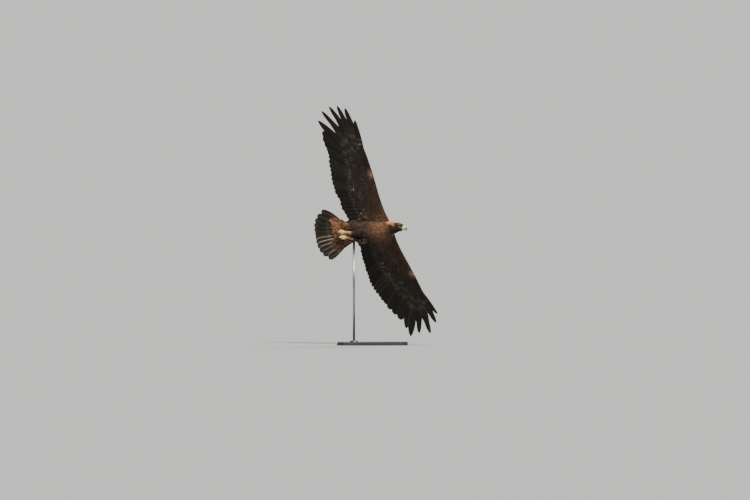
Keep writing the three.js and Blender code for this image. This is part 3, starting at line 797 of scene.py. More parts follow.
def repeated_mesh(name, points, faces, flat, layers, mirror=False):
    """One mesh of many like feathers. Points are in their place, feather by feather, flat says which faces
    aren't shaded smooth, and layers gives the maps and attributes."""
    many, each = points.shape[:2]
    if mirror:
        faces = [tuple(reversed(face)) for face in faces]
    local = np.concatenate([np.asarray(face) for face in faces])
    corners = (local[None, :] + (np.arange(many) * each)[:, None]).ravel()
    counts = np.tile([len(face) for face in faces], many)
    starts = np.concatenate([[0], np.cumsum(counts)[:-1]])
    mesh = bpy.data.meshes.new(name)
    mesh.vertices.add(many * each)
    mesh.loops.add(len(corners))
    mesh.polygons.add(len(counts))
    mesh.vertices.foreach_set("co", points.astype(np.float32).ravel())
    mesh.loops.foreach_set("vertex_index", corners.astype(np.int32))
    mesh.polygons.foreach_set("loop_start", starts.astype(np.int32))
    mesh.update(calc_edges=True)
    sharp = mesh.attributes.new("sharp_face", "BOOLEAN", "FACE")
    sharp.data.foreach_set("value", np.tile(np.asarray(flat, bool), many))
    for key in ("vane", "OFBake"):
        layer = mesh.uv_layers.new(name=key)
        layer.uv.foreach_set("vector", layers[key].reshape(-1, 2)[corners].astype(np.float32).ravel())
    mesh.uv_layers["vane"].active_render = True
    for key in ("tone", "lie"):
        paint(mesh, key, layers[key].reshape(many * each, -1))
    mesh.validate()
    return mesh


def small_sheets(surface, roots, lengths, widths, heading, rise, sink, pointed, random):
    """The upper sides of small feathers that follow a surface from their roots, each tip lying over the next
    feather's root, and their half widths."""
    many = len(roots)
    turn = random.normal(0, 0.1, many)
    places, ups = surface.lines(roots, lengths, heading, SMALL_SHARES)
    along = unit(np.gradient(places, axis=1))
    across = unit(np.cross(along, ups))
    ups = np.cross(across, along)
    shares = SMALL_SHARES[None, :, None]
    depth = np.broadcast_to(sink, many)[:, None, None] * (1 - shares) ** 1.5
    lift = rise[:, None, None] * shares - depth + random.normal(0, 0.12, (many, 1, 1)) * shares
    drift = across * (turn[:, None, None] * lengths[:, None, None] * shares**1.5)
    centre = places + ups * lift + drift
    outline = mix(SMALL_WIDTHS[None, :], POINTED_WIDTHS[None, :], np.broadcast_to(pointed, many)[:, None])
    rim = (np.abs(ACROSS) > 0.9)[None, None, :]
    ragged = 1 + random.normal(0, 0.07, (many, len(SMALL_SHARES), len(ACROSS))) * rim
    half = outline[:, :, None] * widths[:, None, None] / 2 * ragged
    side = ACROSS[None, None, :]
    sheet = centre[:, :, None, :] + across[:, :, None, :] * (half * side)[..., None]
    sheet -= ups[:, :, None, :] * (ARCH * half * side**2)[..., None]
    fray = (random.normal(0, 0.014, (many, 1, len(ACROSS))) - 0.05 * side**2) * FRAYED[None, :, None]
    sheet += along[:, :, None, :] * (fray * lengths[:, None, None])[..., None]
    return sheet.reshape(many, -1, 3), half.reshape(many, -1)


def small_feathers(name, sheets, half, lengths, tones, spots, to_place, random, mirror):
    """The mesh of a coat from its feathers' sheets, with each one's tone and its spot on the bake's map."""
    many, each = half.shape
    along_share = np.repeat(SMALL_SHARES, len(ACROSS))
    across_share = np.tile(ACROSS, len(SMALL_SHARES))
    lie = np.zeros((many, each, 3))
    lie[:, :, 0] = along_share
    lie[:, :, 1] = np.abs(across_share)
    lie[:, :, 2] = random.random((many, 1))
    vane = np.zeros((many, each, 2))
    vane[:, :, 0] = across_share * half * MM
    vane[:, :, 1] = along_share * lengths[:, None] * MM + lie[:, :, 2]
    patch = np.stack([0.5 + across_share / 2, along_share], 1) * PATCH
    layers = {
        "vane": vane,
        "OFBake": np.clip(spots, 0.002, 0.994)[:, None, :] + patch[None],
        "tone": np.broadcast_to(tones[:, None, :], (many, each, 3)),
        "lie": lie,
    }
    placed = to_place(sheets.reshape(-1, 3)).reshape(many, each, 3)
    return repeated_mesh(name, placed, *small_template(), layers, mirror)


# Flight feathers
def quill(root, tip, bow):
    """A feather's line, as a curve of three points that bows toward its outer vane."""
    root, tip = np.asarray(root, float), np.asarray(tip, float)
    along = tip - root
    outward = unit(np.array([-along[1], along[0]]))
    return np.stack([root, (root + tip) / 2 + outward * np.linalg.norm(along) * bow * 2, tip])


def along_quill(line, t):
    """Places on a feather's line at shares of the way."""
    t = np.asarray(t, float)[..., None]
    return (1 - t) ** 2 * line[0] + 2 * t * (1 - t) * line[1] + t**2 * line[2]


def way_of(line, t):
    """The way that a feather's line points at shares of the way."""
    t = np.asarray(t, float)[..., None]
    return unit((1 - t) * (line[1] - line[0]) + t * (line[2] - line[1]))


def length_of(line):
    steps = along_quill(line, np.linspace(0, 1, 30))
    return np.linalg.norm(np.diff(steps, axis=0), axis=1).sum()


def gap_to(neighbour, place, across):
    """Where a feather's line passes its neighbour's, measured square to its own line."""
    t = np.linspace(-0.6, 1.6, 240)
    inside = np.clip(t, 0, 1)
    ahead = along_quill(neighbour, inside) - place
    ahead = ahead + way_of(neighbour, inside) * ((t - inside) * length_of(neighbour))[:, None]
    along = np.array([across[1], -across[0]])
    past = np.abs(ahead @ along)
    return abs(ahead[np.argmin(past)] @ across)


# Half widths of the inner and outer vane at shares of a feather's length
OUTLINES = {
    "finger": [(0, 5, 4), (0.1, 12, 7), (0.3, 27, 15), (0.5, 38, 22), (0.66, 44, 24), (0.74, 34, 18),
               (0.81, 27, 15), (0.88, 24, 14), (0.93, 19, 12), (0.97, 12, 8), (0.992, 6, 4), (1, 1, 1)],
    "step": [(0, 5, 4), (0.1, 12, 7), (0.3, 28, 16), (0.6, 40, 22), (0.8, 42, 19), (0.88, 33, 16),
             (0.94, 22, 12), (0.975, 12, 8), (0.993, 6, 4), (1, 1, 1)],
    "leading": [(0, 5, 3), (0.1, 11, 5), (0.3, 26, 8), (0.5, 36, 11), (0.64, 38, 11), (0.74, 29, 10),
                (0.82, 23, 9), (0.9, 20, 8.5), (0.95, 15, 7), (0.98, 9, 5), (0.993, 5, 3), (1, 1, 1)],
    "flight": [(0, 5, 4), (0.1, 14, 8), (0.3, 27, 15), (0.6, 32, 19), (0.8, 33, 20), (0.91, 30, 19),
               (0.965, 22, 15), (0.992, 11, 8), (1, 1, 1)],
    "rectrix": [(0, 5, 5), (0.15, 14, 10), (0.4, 26, 17), (0.75, 35, 24), (0.88, 35, 24), (0.94, 28, 20),
                (0.98, 16, 13), (0.995, 7, 6), (1, 1, 1)],
    "covert": [(0, 4, 4), (0.12, 12, 11), (0.45, 22, 19), (0.75, 22, 19), (0.88, 17, 15),
               (0.96, 9, 8), (1, 1, 1)],
}
VANE_ACROSS = np.array([-1, -0.7, -0.35, -0.001, 0.001, 0.4, 0.75, 1])
VANE_ROWS = 46
# Splits in each feather's vanes, and half the length of one
NOTCHES = 3
NOTCH_REACH = 1.2


def long_template(rows, wide):
    """Faces of one long feather: a plate of two sheets that join at its rim."""
    ring = 2 * wide
    faces = []
    for k in range(rows - 1):
        for j in range(ring):
            a, b = k * ring + j, k * ring + (j + 1) % ring
            faces.append((a, b, b + ring, a + ring))
    faces.append(tuple(reversed(range(ring))))
    faces.append(tuple(range((rows - 1) * ring, rows * ring)))
    return faces


def stations(length, random):
    """Shares of a feather's length where its rings lie, the split that each ring is in or 0 for none, and the
    side and depth of each split."""
    cuts = np.sort(random.uniform(0.3, 0.93, NOTCHES))
    cut_side = random.choice([-1, 1], NOTCHES, p=[0.65, 0.35])
    cut_depth = random.uniform(0.15, 0.5, NOTCHES)
    near = NOTCH_REACH / length
    shares = np.concatenate([np.linspace(0, 1, VANE_ROWS) ** 0.92] + [[c - near, c, c + near] for c in cuts])
    splits = np.concatenate([np.zeros(VANE_ROWS, int)] + [[0, k + 1, 0] for k in range(NOTCHES)])
    order = np.argsort(shares)
    return np.clip(shares[order], 0, 1), splits[order], cut_side, cut_depth


def beside(row, i, place, across, half_widths, reach):
    """How far a feather's two vanes go at a place on it, and how steeply each lies on its neighbour."""
    limits, slopes = [], []
    for j, own, share in zip((i - 1, i + 1), half_widths, reach):
        gap = gap_to(row[j], place, across) if 0 <= j < len(row) else own / 0.7
        slopes.append(sizes().lift / max(gap, 14))
        limits.append(min(own, gap * share))
    return limits, slopes


def long_feather(row, i, outline, sheet, random, width=1.0, reach=(1.5, 0.9), rise=None, flip=False,
                 shaft=3.2):
    """One flight feather or long covert as points of two sheets, with split vanes and a raised shaft."""
    line = row[i]
    length = length_of(line)
    t, splits, cut_side, cut_depth = stations(length, random)
    widths = level(OUTLINES[outline], t) * width
    edges = np.abs(VANE_ACROSS)
    points = np.zeros((len(t), 2 * len(VANE_ACROSS), 3))
    spread = np.zeros((len(t), 2 * len(VANE_ACROSS)))
    for k, share in enumerate(t):
        place = along_quill(line, share)
        way = way_of(line, share)
        across = np.array([-way[1], way[0]])
        (inner, outer), (inner_slope, outer_slope) = beside(row, i, place, across, widths[k], reach)
        w = VANE_ACROSS * np.where(VANE_ACROSS < 0, inner, outer)
        slant = np.abs(w) * 0.55
        if splits[k]:
            which = splits[k] - 1
            torn = np.sign(VANE_ACROSS) == cut_side[which]
            w = np.where(torn, w * (1 - cut_depth[which] * edges**3), w)
        w[3], w[4] = -min(1.0, inner * 0.3), min(1.0, outer * 0.3)
        bank = np.where(w < 0, w * inner_slope * (-1 if flip else 1), w * outer_slope)
        base = (rise(share) if rise else 0.0) + bank - 0.5 * edges**2
        taper = mix(1.0, 0.22, share)
        thick = 0.18 + 0.12 * (1 - edges)
        top, bottom = base + thick, base - thick
        top[3:5] = base[3:5] + shaft * 0.32 * taper
        bottom[3:5] = base[3:5] - shaft * 0.42 * taper
        toward = slant * smooth(share, 0.02, 0.3) * (1 - smooth(share, 0.9, 1.0)) * 0.12
        u = place[0] + across[0] * w + way[0] * toward
        v = place[1] + across[1] * w + way[1] * toward
        points[k] = np.concatenate([sheet(u, v, top), sheet(u[::-1], v[::-1], bottom[::-1])])
        spread[k] = np.concatenate([w, w[::-1]])
    return points, t, spread, length


def long_feathers(name, feathers, tones, to_place, mirror=False, draws=(0.0, 1.0)):
    """A mesh of long feathers, each with its own draw between two and its own strips on the bake's map."""
    many = len(feathers)
    rows, ring = feathers[0][0].shape[:2]
    each = rows * ring
    random = np.random.default_rng(5)
    lie = np.zeros((many, each, 3))
    vane = np.zeros((many, each, 2))
    bake = np.zeros((many, each, 2))
    lower = np.tile(np.arange(ring) >= ring // 2, rows)
    for i, (_, t, spread, length) in enumerate(feathers):
        along = np.repeat(t, ring)
        across = spread.ravel() / max(np.abs(spread).max(), 1e-6)
        lie[i, :, 0] = along
        lie[i, :, 1] = np.abs(np.tile(np.concatenate([VANE_ACROSS, VANE_ACROSS[::-1]]), rows))
        lie[i, :, 2] = random.uniform(*draws)
        vane[i, :, 0] = spread.ravel() * MM
        vane[i, :, 1] = along * length * MM
        bake[i, :, 0] = (2 * i + lower + 0.5 + across * 0.44) / (2 * many)
        bake[i, :, 1] = 0.01 + 0.98 * along
    faces = long_template(rows, ring // 2)
    placed = to_place(np.concatenate([f[0].reshape(-1, 3) for f in feathers])).reshape(many, each, 3)
    tone = np.broadcast_to(np.asarray(tones)[:, None, :], (many, each, 3))
    layers = {"vane": vane, "OFBake": bake, "tone": tone, "lie": lie}
    return repeated_mesh(name, placed, faces, [False] * len(faces), layers, mirror)


# Tips of the ten primaries from the innermost to the foremost, (u, v), as each wing spreads them, and the
# line that the secondaries end on
PRIMARY_TIPS = {
    "left": [(760, -214), (818, -206), (878, -184), (938, -159), (1035, -146), (1122, -144), (1098, -54),
             (1110, 44), (1005, 143), (914, 196)],
    "right": [(757, -160), (802, -164), (845, -164), (891, -154), (989, -161), (1065, -102), (1096, -23),
              (1094, 50), (1068, 112), (955, 165)],
}
TRAILING_EDGE = {
    "left": [(100, -196), (168, -192), (260, -211), (384, -232), (509, -247), (635, -245), (760, -214)],
    "right": [(100, -186), (207, -206), (316, -208), (407, -220), (575, -195), (645, -180), (757, -160)],
}
# The last primary, counted from the innermost, that stays broad nearly to its tip
LAST_STEP = {"left": 5, "right": 4}
SECONDARIES = 17
INNER_TIP_U = 98
WRIST = (410, 108)
HAND_STEP = (20, 3.6)
ROOT_LINE = [(104, 26), (225, 34), (312, 62), (410, 108)]


def primary_outline(label, k):
    """The shape of a primary, counted from the innermost."""
    if k == 9:
        return "leading"
    if k < 4:
        return "flight"
    return "step" if k <= LAST_STEP[label] else "finger"


def remex_lines(label, random):
    """Lines of one wing's flight feathers from the body out: the secondaries, then ten primaries. Also their
    outlines and the shares of the full width."""
    tips = PRIMARY_TIPS[label]
    lines, outlines, widths = [], [], []
    for k in range(SECONDARIES, 0, -1):
        root_u = mix(WRIST[0], ROOT_LINE[0][0], (k - 0.5) / SECONDARIES)
        tip_u = mix(tips[0][0] - 42, INNER_TIP_U, (k - 1) / (SECONDARIES - 1))
        tip_v = through(TRAILING_EDGE[label], tip_u)[0, 0] + random.uniform(-4, 4)
        lines.append(quill((root_u, through(ROOT_LINE, root_u)[0, 0]), (tip_u, tip_v), 0.05))
        outlines.append("flight")
        widths.append(1.0)
    for k, tip in enumerate(tips):
        root = (WRIST[0] + HAND_STEP[0] * k, WRIST[1] + HAND_STEP[1] * k)
        lines.append(quill(root, tip, 0.045 if k < 7 else 0.02))
        outlines.append(primary_outline(label, k))
        widths.append(1.35 if k < 4 else 1.0)
    return lines, outlines, widths


def wing_place(side):
    return lambda points: in_air(mirrored(points, side))


def tail_place(side):
    return lambda points: posed_in_air(mirrored(points, side))


def flight_feathers(label, side):
    """The flight feathers of one wing."""
    random = np.random.default_rng(sizes().seed + (3 if side > 0 else 4))
    lines, outlines, widths = remex_lines(label, random)
    feathers = [
        long_feather(lines, i, outlines[i], on_wing, random, widths[i]) for i in range(len(lines))
    ]
    quills = np.tile(rgba((0.16, 0.14, 0.12)), (len(feathers), 1))
    return long_feathers(f"flight_feathers_{label}", feathers, quills, wing_place(side), mirror=side < 0)


def long_coverts(label, side, face):
    """The greater coverts on the upper or under side of one wing, over all flight feathers but the
    foremost."""
    random = np.random.default_rng(sizes().seed + (13 if side > 0 else 14) + face)
    lines = remex_lines(label, random)[0]
    row = []
    for i, line in enumerate(lines[:-1]):
        share = (0.45 if i < SECONDARIES else 0.34) + random.uniform(-0.05, 0.05)
        row.append(quill(along_quill(line, 0.01), along_quill(line, share), 0.02))

    def rise(t):
        return face * mix(5.2, 2.7, smooth(t, 0.1, 0.9))

    return [
        long_feather(row, i, "covert", on_wing, random, 1.0, (1.3, 0.9), rise, shaft=1.6)
        for i in range(len(row))
    ]


# Tips of one side's tail feathers from the middle outward, (u, v)
TAIL_TIPS = [(17, -320), (52, -320), (89, -315), (125, -301), (159, -275), (192, -230)]


def tail_feathers():
    """Both halves of the twelve tail feathers, the left middle one lying over the right."""
    random = np.random.default_rng(sizes().seed + 21)
    halves = []
    for side in (1, -1):
        lines = [quill((4 + 6 * k, -6), tip, 0.012 * k) for k, tip in enumerate(TAIL_TIPS)]
        opposite = np.array([-1, 1]) * quill((4, -6), TAIL_TIPS[0], 0)
        row = [opposite, *lines]
        halves.append([
            long_feather(row, k, "rectrix", on_tail, random, 1.0, (1.05, 0.8), None, k == 1 and side > 0)
            for k in range(1, len(row))
        ])
    return halves


# The lie of the coat
def nearest_on_leg(points):
    """Along the leg from 0 at the hip to 1 at the foot, the distance from its line as a share of its radius,
    and the way that it points there."""
    rows = np.array(LEG, float)
    flipped = on_left(points)
    best = np.full(len(points), 1e9)
    share, way = np.zeros(len(points)), np.zeros((len(points), 3))
    for k in range(len(rows) - 1):
        a, b = rows[k, :3], rows[k + 1, :3]
        t = np.clip(((flipped - a) @ (b - a)) / ((b - a) @ (b - a)), 0, 1)
        radius = mix(rows[k, 3], rows[k + 1, 3], t)
        ratio = np.linalg.norm(flipped - (a + t[:, None] * (b - a)), axis=1) / radius
        closer = ratio < best
        best = np.where(closer, ratio, best)
        share = np.where(closer, (k + t) / (len(rows) - 1), share)
        way[closer] = unit(b - a)
    way[:, 1] *= np.sign(points[:, 1])
    return share, best, way


def trunk_middle(x):
    """The height of the trunk's line."""
    rows = through(TRUNK, np.clip(x, TAIL_JOINT_X, FACE_X))
    return (rows[:, 1] + rows[:, 2]) / 2


def on_leg(points):
    """Whether places lie on the thighs or lower legs and not on the trunk."""
    share, ratio, _ = nearest_on_leg(points)
    return (ratio < 0.93) & (share > 0.12) & (points[:, 2] < trunk_middle(points[:, 0]))


# The middle of the left eye
EYE = (256, 27, 13)
EYE_RADIUS = 10.5


def eye_distance(points):
    return np.linalg.norm(on_left(points) - np.array(EYE), axis=1)


# From tail to face: feather length and width, distance between roots, and rise of the tip
BODY_FEATHERS = [
    (-205, 58, 20, 8.6, 7.5), (-60, 47, 19.5, 8.8, 7.5), (60, 42, 18, 8.0, 7.5), (130, 38, 14, 6.4, 7),
    (178, 38, 10, 4.6, 6), (205, 32, 8, 3.6, 5), (235, 20, 5.6, 2.7, 3.4), (256, 11, 4.2, 2.2, 2.2),
    (270, 7, 3.2, 2.0, 1.5), (282, 5, 2.6, 1.8, 1.0),
]


def body_size(column):
    """One column of the table above, as a function of places."""
    return lambda points: level(BODY_FEATHERS, points[:, 0])[:, column]


def body_heading(points):
    """Feathers lie from bill to tail, fanning a little outward at the shoulders and round the eye."""
    x, y = points[:, 0], points[:, 1]
    side = np.sign(y)
    shoulder = smooth(np.abs(y), 50, 90) * smooth(-x, -170, -60) * smooth(x, -110, -40)
    ones = np.ones(len(points))
    away = unit(points - np.array(EYE) * np.stack([ones, side, ones], 1))
    near = 1 - smooth(eye_distance(points), EYE_RADIUS, 26)
    return np.stack([-ones, 0.35 * side * shoulder, 0 * ones], 1) + away * near[:, None] * 0.9


def tint(first, second, share):
    """Colours from one to another, by a share for each place."""
    return mix(first, second, share[:, None])


def body_tones(points):
    """The coat's colour at places on the straight bird, without the draw that each feather adds."""
    c = colours()
    x, _, z = points.T
    high = z - trunk_middle(x)
    tone = tint(linear(c.breast), linear(c.belly), 1 - smooth(x, 10, 110))
    tone = tint(tone, linear(c.vent), 1 - smooth(x, -190, -110))
    tone = tint(tone, linear(c.back), smooth(high, -12, 22))
    gold = tint(linear(c.gold), linear(c.crown), smooth(x, 222, 242) * smooth(high, 4, 16))
    tone = tint(tone, gold, smooth(x + 0.25 * z, 168, 190))
    throat = smooth(x, 150, 205) * (1 - smooth(high, -22, -8))
    cheek = smooth(x, 226, 242) * (1 - smooth(high, 13, 20))
    lores = smooth(x, 268, 277)
    return tint(tone, linear(c.face), np.maximum(np.maximum(throat, cheek), lores))


def leg_tones(points):
    """Thighs like the belly, then rufous and pale lower legs."""
    c = colours()
    share = nearest_on_leg(points)[0]
    tone = tint(linear(c.belly), linear(c.vent) * 0.8, smooth(share, 0.15, 0.42))
    return tint(tone, linear(c.tarsus), smooth(share, 0.4, 0.52))


def wing_tones(points, face):
    """The coat's colour on the wings: brown lining with a gold wrist below, tawny panel above."""
    c = colours()
    u = span_of(points)
    depth = arm_depth(points)
    if face > 0:
        tone = tint(linear(c.back), linear(c.panel), smooth(depth, 0.35, 0.8))
        return tint(tone, linear(c.back), smooth(u, 420, 560))
    tone = tint(linear(c.lining), linear(c.lower_coverts), smooth(depth, 0.45, 0.95))
    tone = tint(tone, linear(c.breast), (1 - smooth(u, 90, 210)) * 0.5)
    tone = tint(tone, linear(c.belly) * 0.75, smooth(u, 500, 540))
    wrist = np.exp(-((u - 470) / 30) ** 2 - ((depth - 0.16) / 0.2) ** 2)
    return tint(tone, linear(c.crown) * 0.6, wrist * 0.6)


def tail_tones(points):
    """Rufous coverts with dark patches under the tail, painted shade toward the bird's left, dark brown ones
    above it.
    """
    c = colours()
    # Painted shade: darker toward the bird's left side, the lower one in the bank; the patches are their own
    # mottling
    painted_shade_and_patches = np.clip(0.34 + 0.008 * points[:, 1] + 0.4 * patches(points, 14), 0, 0.85)
    under = tint(linear(c.vent), linear(c.belly), painted_shade_and_patches)
    return tint(under, linear(c.back), smooth(points[:, 2], -8, 4))


def all_tones(points):
    """Colours of the skin, by the parts of the coat that cover it."""
    tone = body_tones(points)
    leg = on_leg(points)
    tone[leg] = leg_tones(points[leg])
    out = np.abs(points[:, 1]) > 92
    upper = points[:, 2] > on_wing_level(points)
    for face, mask in ((1, out & upper), (-1, out & ~upper)):
        tone[mask] = wing_tones(points[mask], face)
    return tone


def on_wing_level(points):
    """The height of the wing's surface at places."""
    u = span_of(points)
    return on_wing(u, points[:, 0], 0 * u)[:, 2]


def patches(points, size):
    """Soft light and dark patches about a size across, from -1 to 1."""
    x, y, z = points.T / size * math.pi
    return np.sin(x + 1.7 * np.sin(0.7 * y + 2)) * np.sin(1.2 * y + 1.3 * np.sin(0.8 * z + 0.6 * x))


def varied(tones, random, amount=0.16, pale=0.0):
    """Each feather's own shade of the coat's colour, with a share of pale, bleached ones."""
    shade = np.exp(random.normal(0, amount, (len(tones), 1)))
    worn = (random.random((len(tones), 1)) < pale) * random.uniform(0.25, 0.8, (len(tones), 1))
    bleached = tones * 1.9 + 0.02
    return np.clip(mix(tones * shade, bleached, worn), 0, 1)


def arm_depth(points):
    """How far behind the wing's leading edge places lie, as a share of the arm's flesh."""
    rows = through(ARM, np.clip(span_of(points), ARM[0][0], ARM[-1][0]))
    return (rows[:, 0] + rows[:, 1] - points[:, 0]) / (2 * np.maximum(rows[:, 1], 12))


def round_unwrap(points):
    """The trunk unrolled round its length."""
    turn = np.arctan2(points[:, 2] - trunk_middle(points[:, 0]), points[:, 1])
    return np.stack([(points[:, 0] + 260) / 550, 0.5 + turn / (2 * math.pi) * 0.98], 1)


def leg_unwrap(points):
    """Both legs unrolled, side by side."""
    share, _, _ = nearest_on_leg(points)
    row = level([(i / (len(LEG) - 1), *r) for i, r in enumerate(LEG)], share)
    turn = np.arctan2(points[:, 2] - row[:, 2], np.abs(points[:, 1]) - row[:, 1])
    return np.stack([0.5 * (points[:, 1] > 0) + 0.48 * share, 0.5 + turn / (2 * math.pi) * 0.98], 1)


def coat(name, surface, spacing, length, width, rise, heading, tones, unwrap, to_place, seed,
         pointed=None, sink=None, pale=0.0, amount=0.16, mirror=False):
    """Scatters and lays one coat of small feathers. What varies over the surface is a function of places."""
    random = np.random.default_rng(seed)
    roots = surface.scatter(spacing, 6.0, seed)
    draw = random.normal(0, 0.08, (2, len(roots)))
    lengths = length(roots) * (1 + draw[0])
    widths = width(roots) * (1 + draw[1])
    patchy = np.exp(0.12 * patches(roots, 52) + 0.12 * patches(roots[:, [1, 0, 2]], 23))[:, None]
    shades = varied(tones(roots) * patchy, random, amount, pale)
    random = np.random.default_rng(seed + 1)
    sheets, half = small_sheets(
        surface, roots, lengths, widths, heading, rise(roots), sink(roots) if sink else 0.8,
        pointed(roots) if pointed else 0.0, random,
    )
    mesh = small_feathers(name, sheets, half, lengths, shades, unwrap(roots), to_place, random, mirror)
    add_piece(name, mesh, once("plumage", plumage_finish))


def skin_surface():
    return once("surface", lambda: Surface(straight_skin()))


# Skin, coats and feathers as pieces
class EAGLE_OT_skin(bpy.types.Operator):
    """Makes the one skin that lies under all the feathers"""

    bl_idname = "eagle.skin"
    bl_label = "Skin"

    def execute(self, context):
        fused = straight_skin()
        points = points_of(fused)
        mesh = fused.copy()
        wing = np.abs(points[:, 1]) > 86
        placed = np.where(wing[:, None], in_air(points), posed_in_air(points))
        mesh.vertices.foreach_set("co", placed.astype(np.float32).ravel())
        mesh.polygons.foreach_set("use_smooth", np.ones(len(mesh.polygons), bool))
        paint(mesh, "tone", all_tones(points))
        mesh.update()
        nodes = ["torso", "neck", "head", "thigh_left", "thigh_right", "shank_left", "shank_right"]
        add_piece("skin", mesh, skin_finish(), nodes)
        return {"FINISHED"}


class EAGLE_OT_body_coat(bpy.types.Operator):
    """Lays the feathers of trunk, neck and head"""

    bl_idname = "eagle.body_coat"
    bl_label = "Body and head feathers"

    def execute(self, context):
        surface = skin_surface()

        def spacing(points, normals):
            gap = body_size(2)(points)
            bare = on_leg(points) | (np.abs(points[:, 1]) > 112) | (eye_distance(points) < EYE_RADIUS - 0.4)
            bare |= (points[:, 0] < -204) | (normals[:, 0] < -0.4)
            bare |= (points[:, 0] < -100) & (normals[:, 0] > 0.35)
            return np.where(bare, 0, gap)

        def part(low, high):
            def inside(points, normals):
                gap = spacing(points, normals)
                return np.where((points[:, 0] >= low) & (points[:, 0] < high), gap, 0)
            return inside

        def length(points):
            over_wing = smooth(-points[:, 0], -120, 0) * smooth(points[:, 0], -130, -50)
            scapular = smooth(np.abs(points[:, 1]), 50, 75) * over_wing * (points[:, 2] > 0)
            near_eye = 1 - smooth(eye_distance(points), EYE_RADIUS, EYE_RADIUS + 6)
            return body_size(0)(points) * (1 + 0.5 * scapular) * (1 - 0.5 * near_eye)

        for name, low, high, slot in (
            ("body_feathers", -400, 150, "plumage"),
            ("neck_feathers", 150, 236, "nape"),
            ("head_feathers", 236, 400, "nape"),
        ):
            coat(
                name, surface, part(low, high), length, body_size(1), body_size(3), body_heading,
                body_tones, round_unwrap, posed_in_air, sizes().seed + len(name),
                pointed=lambda points: smooth(points[:, 0], 150, 200), pale=0.1, amount=0.22,
            )
        return {"FINISHED"}


class EAGLE_OT_leg_coat(bpy.types.Operator):
    """Lays the feathers of thighs and lower legs"""

    bl_idname = "eagle.leg_coat"
    bl_label = "Leg feathers"

    def execute(self, context):
        def down(high, low, start=0.25):
            """A size that falls from the thigh's to the lower leg's."""
            return lambda points: mix(high, low, smooth(nearest_on_leg(points)[0], start, 0.5))

        def spacing(points, normals):
            return np.where(on_leg(points), down(7.5, 3.4, 0.3)(points), 0)

        coat(
            "leg_feathers", skin_surface(), spacing, down(44, 15), down(16, 6), down(8.5, 3.0),
            lambda points: nearest_on_leg(points)[2], leg_tones, leg_unwrap, posed_in_air, sizes().seed + 40,
        )
        return {"FINISHED"}


def wing_guide():
    """The surface that the left wing's coverts lie on: the flesh with a thin sheet behind it."""
    rings = []
    sides = 44
    back = 1 - np.cos(np.linspace(0, math.pi, sides // 2 + 1))
    for u in np.linspace(20, 735, 60):
        middle, half, thick = through(ARM, float(np.clip(u, ARM[0][0], ARM[-1][0])))[0]
        front = middle + half
        chord = 2 * half * 1.35
        v = front - back / 2 * (chord + 120)
        c = np.clip((front - v) / chord, 0, 1)
        # A common wing section, whose half thickness is 1 where it is thickest
        foil = 10 * (0.2969 * np.sqrt(c) - 0.126 * c - 0.3516 * c**2 + 0.2843 * c**3 - 0.1015 * c**4)
        high = np.maximum(thick * foil, 3.4 * smooth(c, 0.0, 0.3))
        high[0] = 0
        upper = on_wing(u + 0 * v, v, high)
        lower = on_wing(u + 0 * v, v, -high)[::-1][1:-1]
        rings.append(np.concatenate([upper, lower]))
    return Surface(plain_mesh(lofted(rings), "wing guide"))


# The way that coverts point, along u and v, from the shoulder to the hand
COVERT_WAY = [(60, -0.05, -1), (104, 0, -1), (250, 0.46, -0.89), (410, 0.72, -0.69), (470, 0.86, -0.51),
              (530, 0.95, -0.31), (600, 0.99, 0.0), (720, 1, 0.1)]


def wing_heading(points):
    u, v = level(COVERT_WAY, span_of(points)).T
    return np.stack([v, u * math.cos(DIHEDRAL), u * math.sin(DIHEDRAL)], 1)


def wing_unwrap(points):
    """The wing unrolled flat."""
    depth = np.clip(arm_depth(points), 0, 1.6) / 1.65
    return np.stack([span_of(points) / 760, depth], 1)


class EAGLE_OT_wing_coverts(bpy.types.Operator):
    """Lays the coverts above and below both wings"""

    bl_idname = "eagle.wing_coverts"
    bl_label = "Wing coverts"

    def execute(self, context):
        surface = wing_guide()

        def growing(front, back, reach, hand, start=0.0):
            """A size that goes from front at the leading edge to back behind it, times hand at the hand."""
            def size(points):
                outward = mix(1, hand, smooth(span_of(points), 480, 700))
                return mix(front, back, smooth(arm_depth(points), start, reach)) * outward
            return size

        def part(face):
            def spacing(points, normals):
                u = span_of(points)
                above = points[:, 2] > on_wing_level(points)
                wanted = (above == (face > 0)) & (u > 66) & (u < 715) & (arm_depth(points) < 1.12)
                return np.where(wanted, growing(3.6, 8.6, 0.8, 0.75)(points), 0)
            return spacing

        for label, side in SIDES:
            for face, word in ((1, "upper"), (-1, "under")):
                coat(
                    f"coverts_{word}_{label}", surface, part(face), growing(11, 50, 0.95, 0.7),
                    growing(6.5, 19, 0.8, 0.7), growing(0.7, 4.4, 0.5, 0.6), wing_heading,
                    lambda points: wing_tones(points, face), wing_unwrap, wing_place(side),
                    sizes().seed + 50 + 3 * side + face, sink=growing(2.8, 0.8, 0.2, 1, 0.02), pale=0.08,
                    mirror=side < 0,
                )
        return {"FINISHED"}


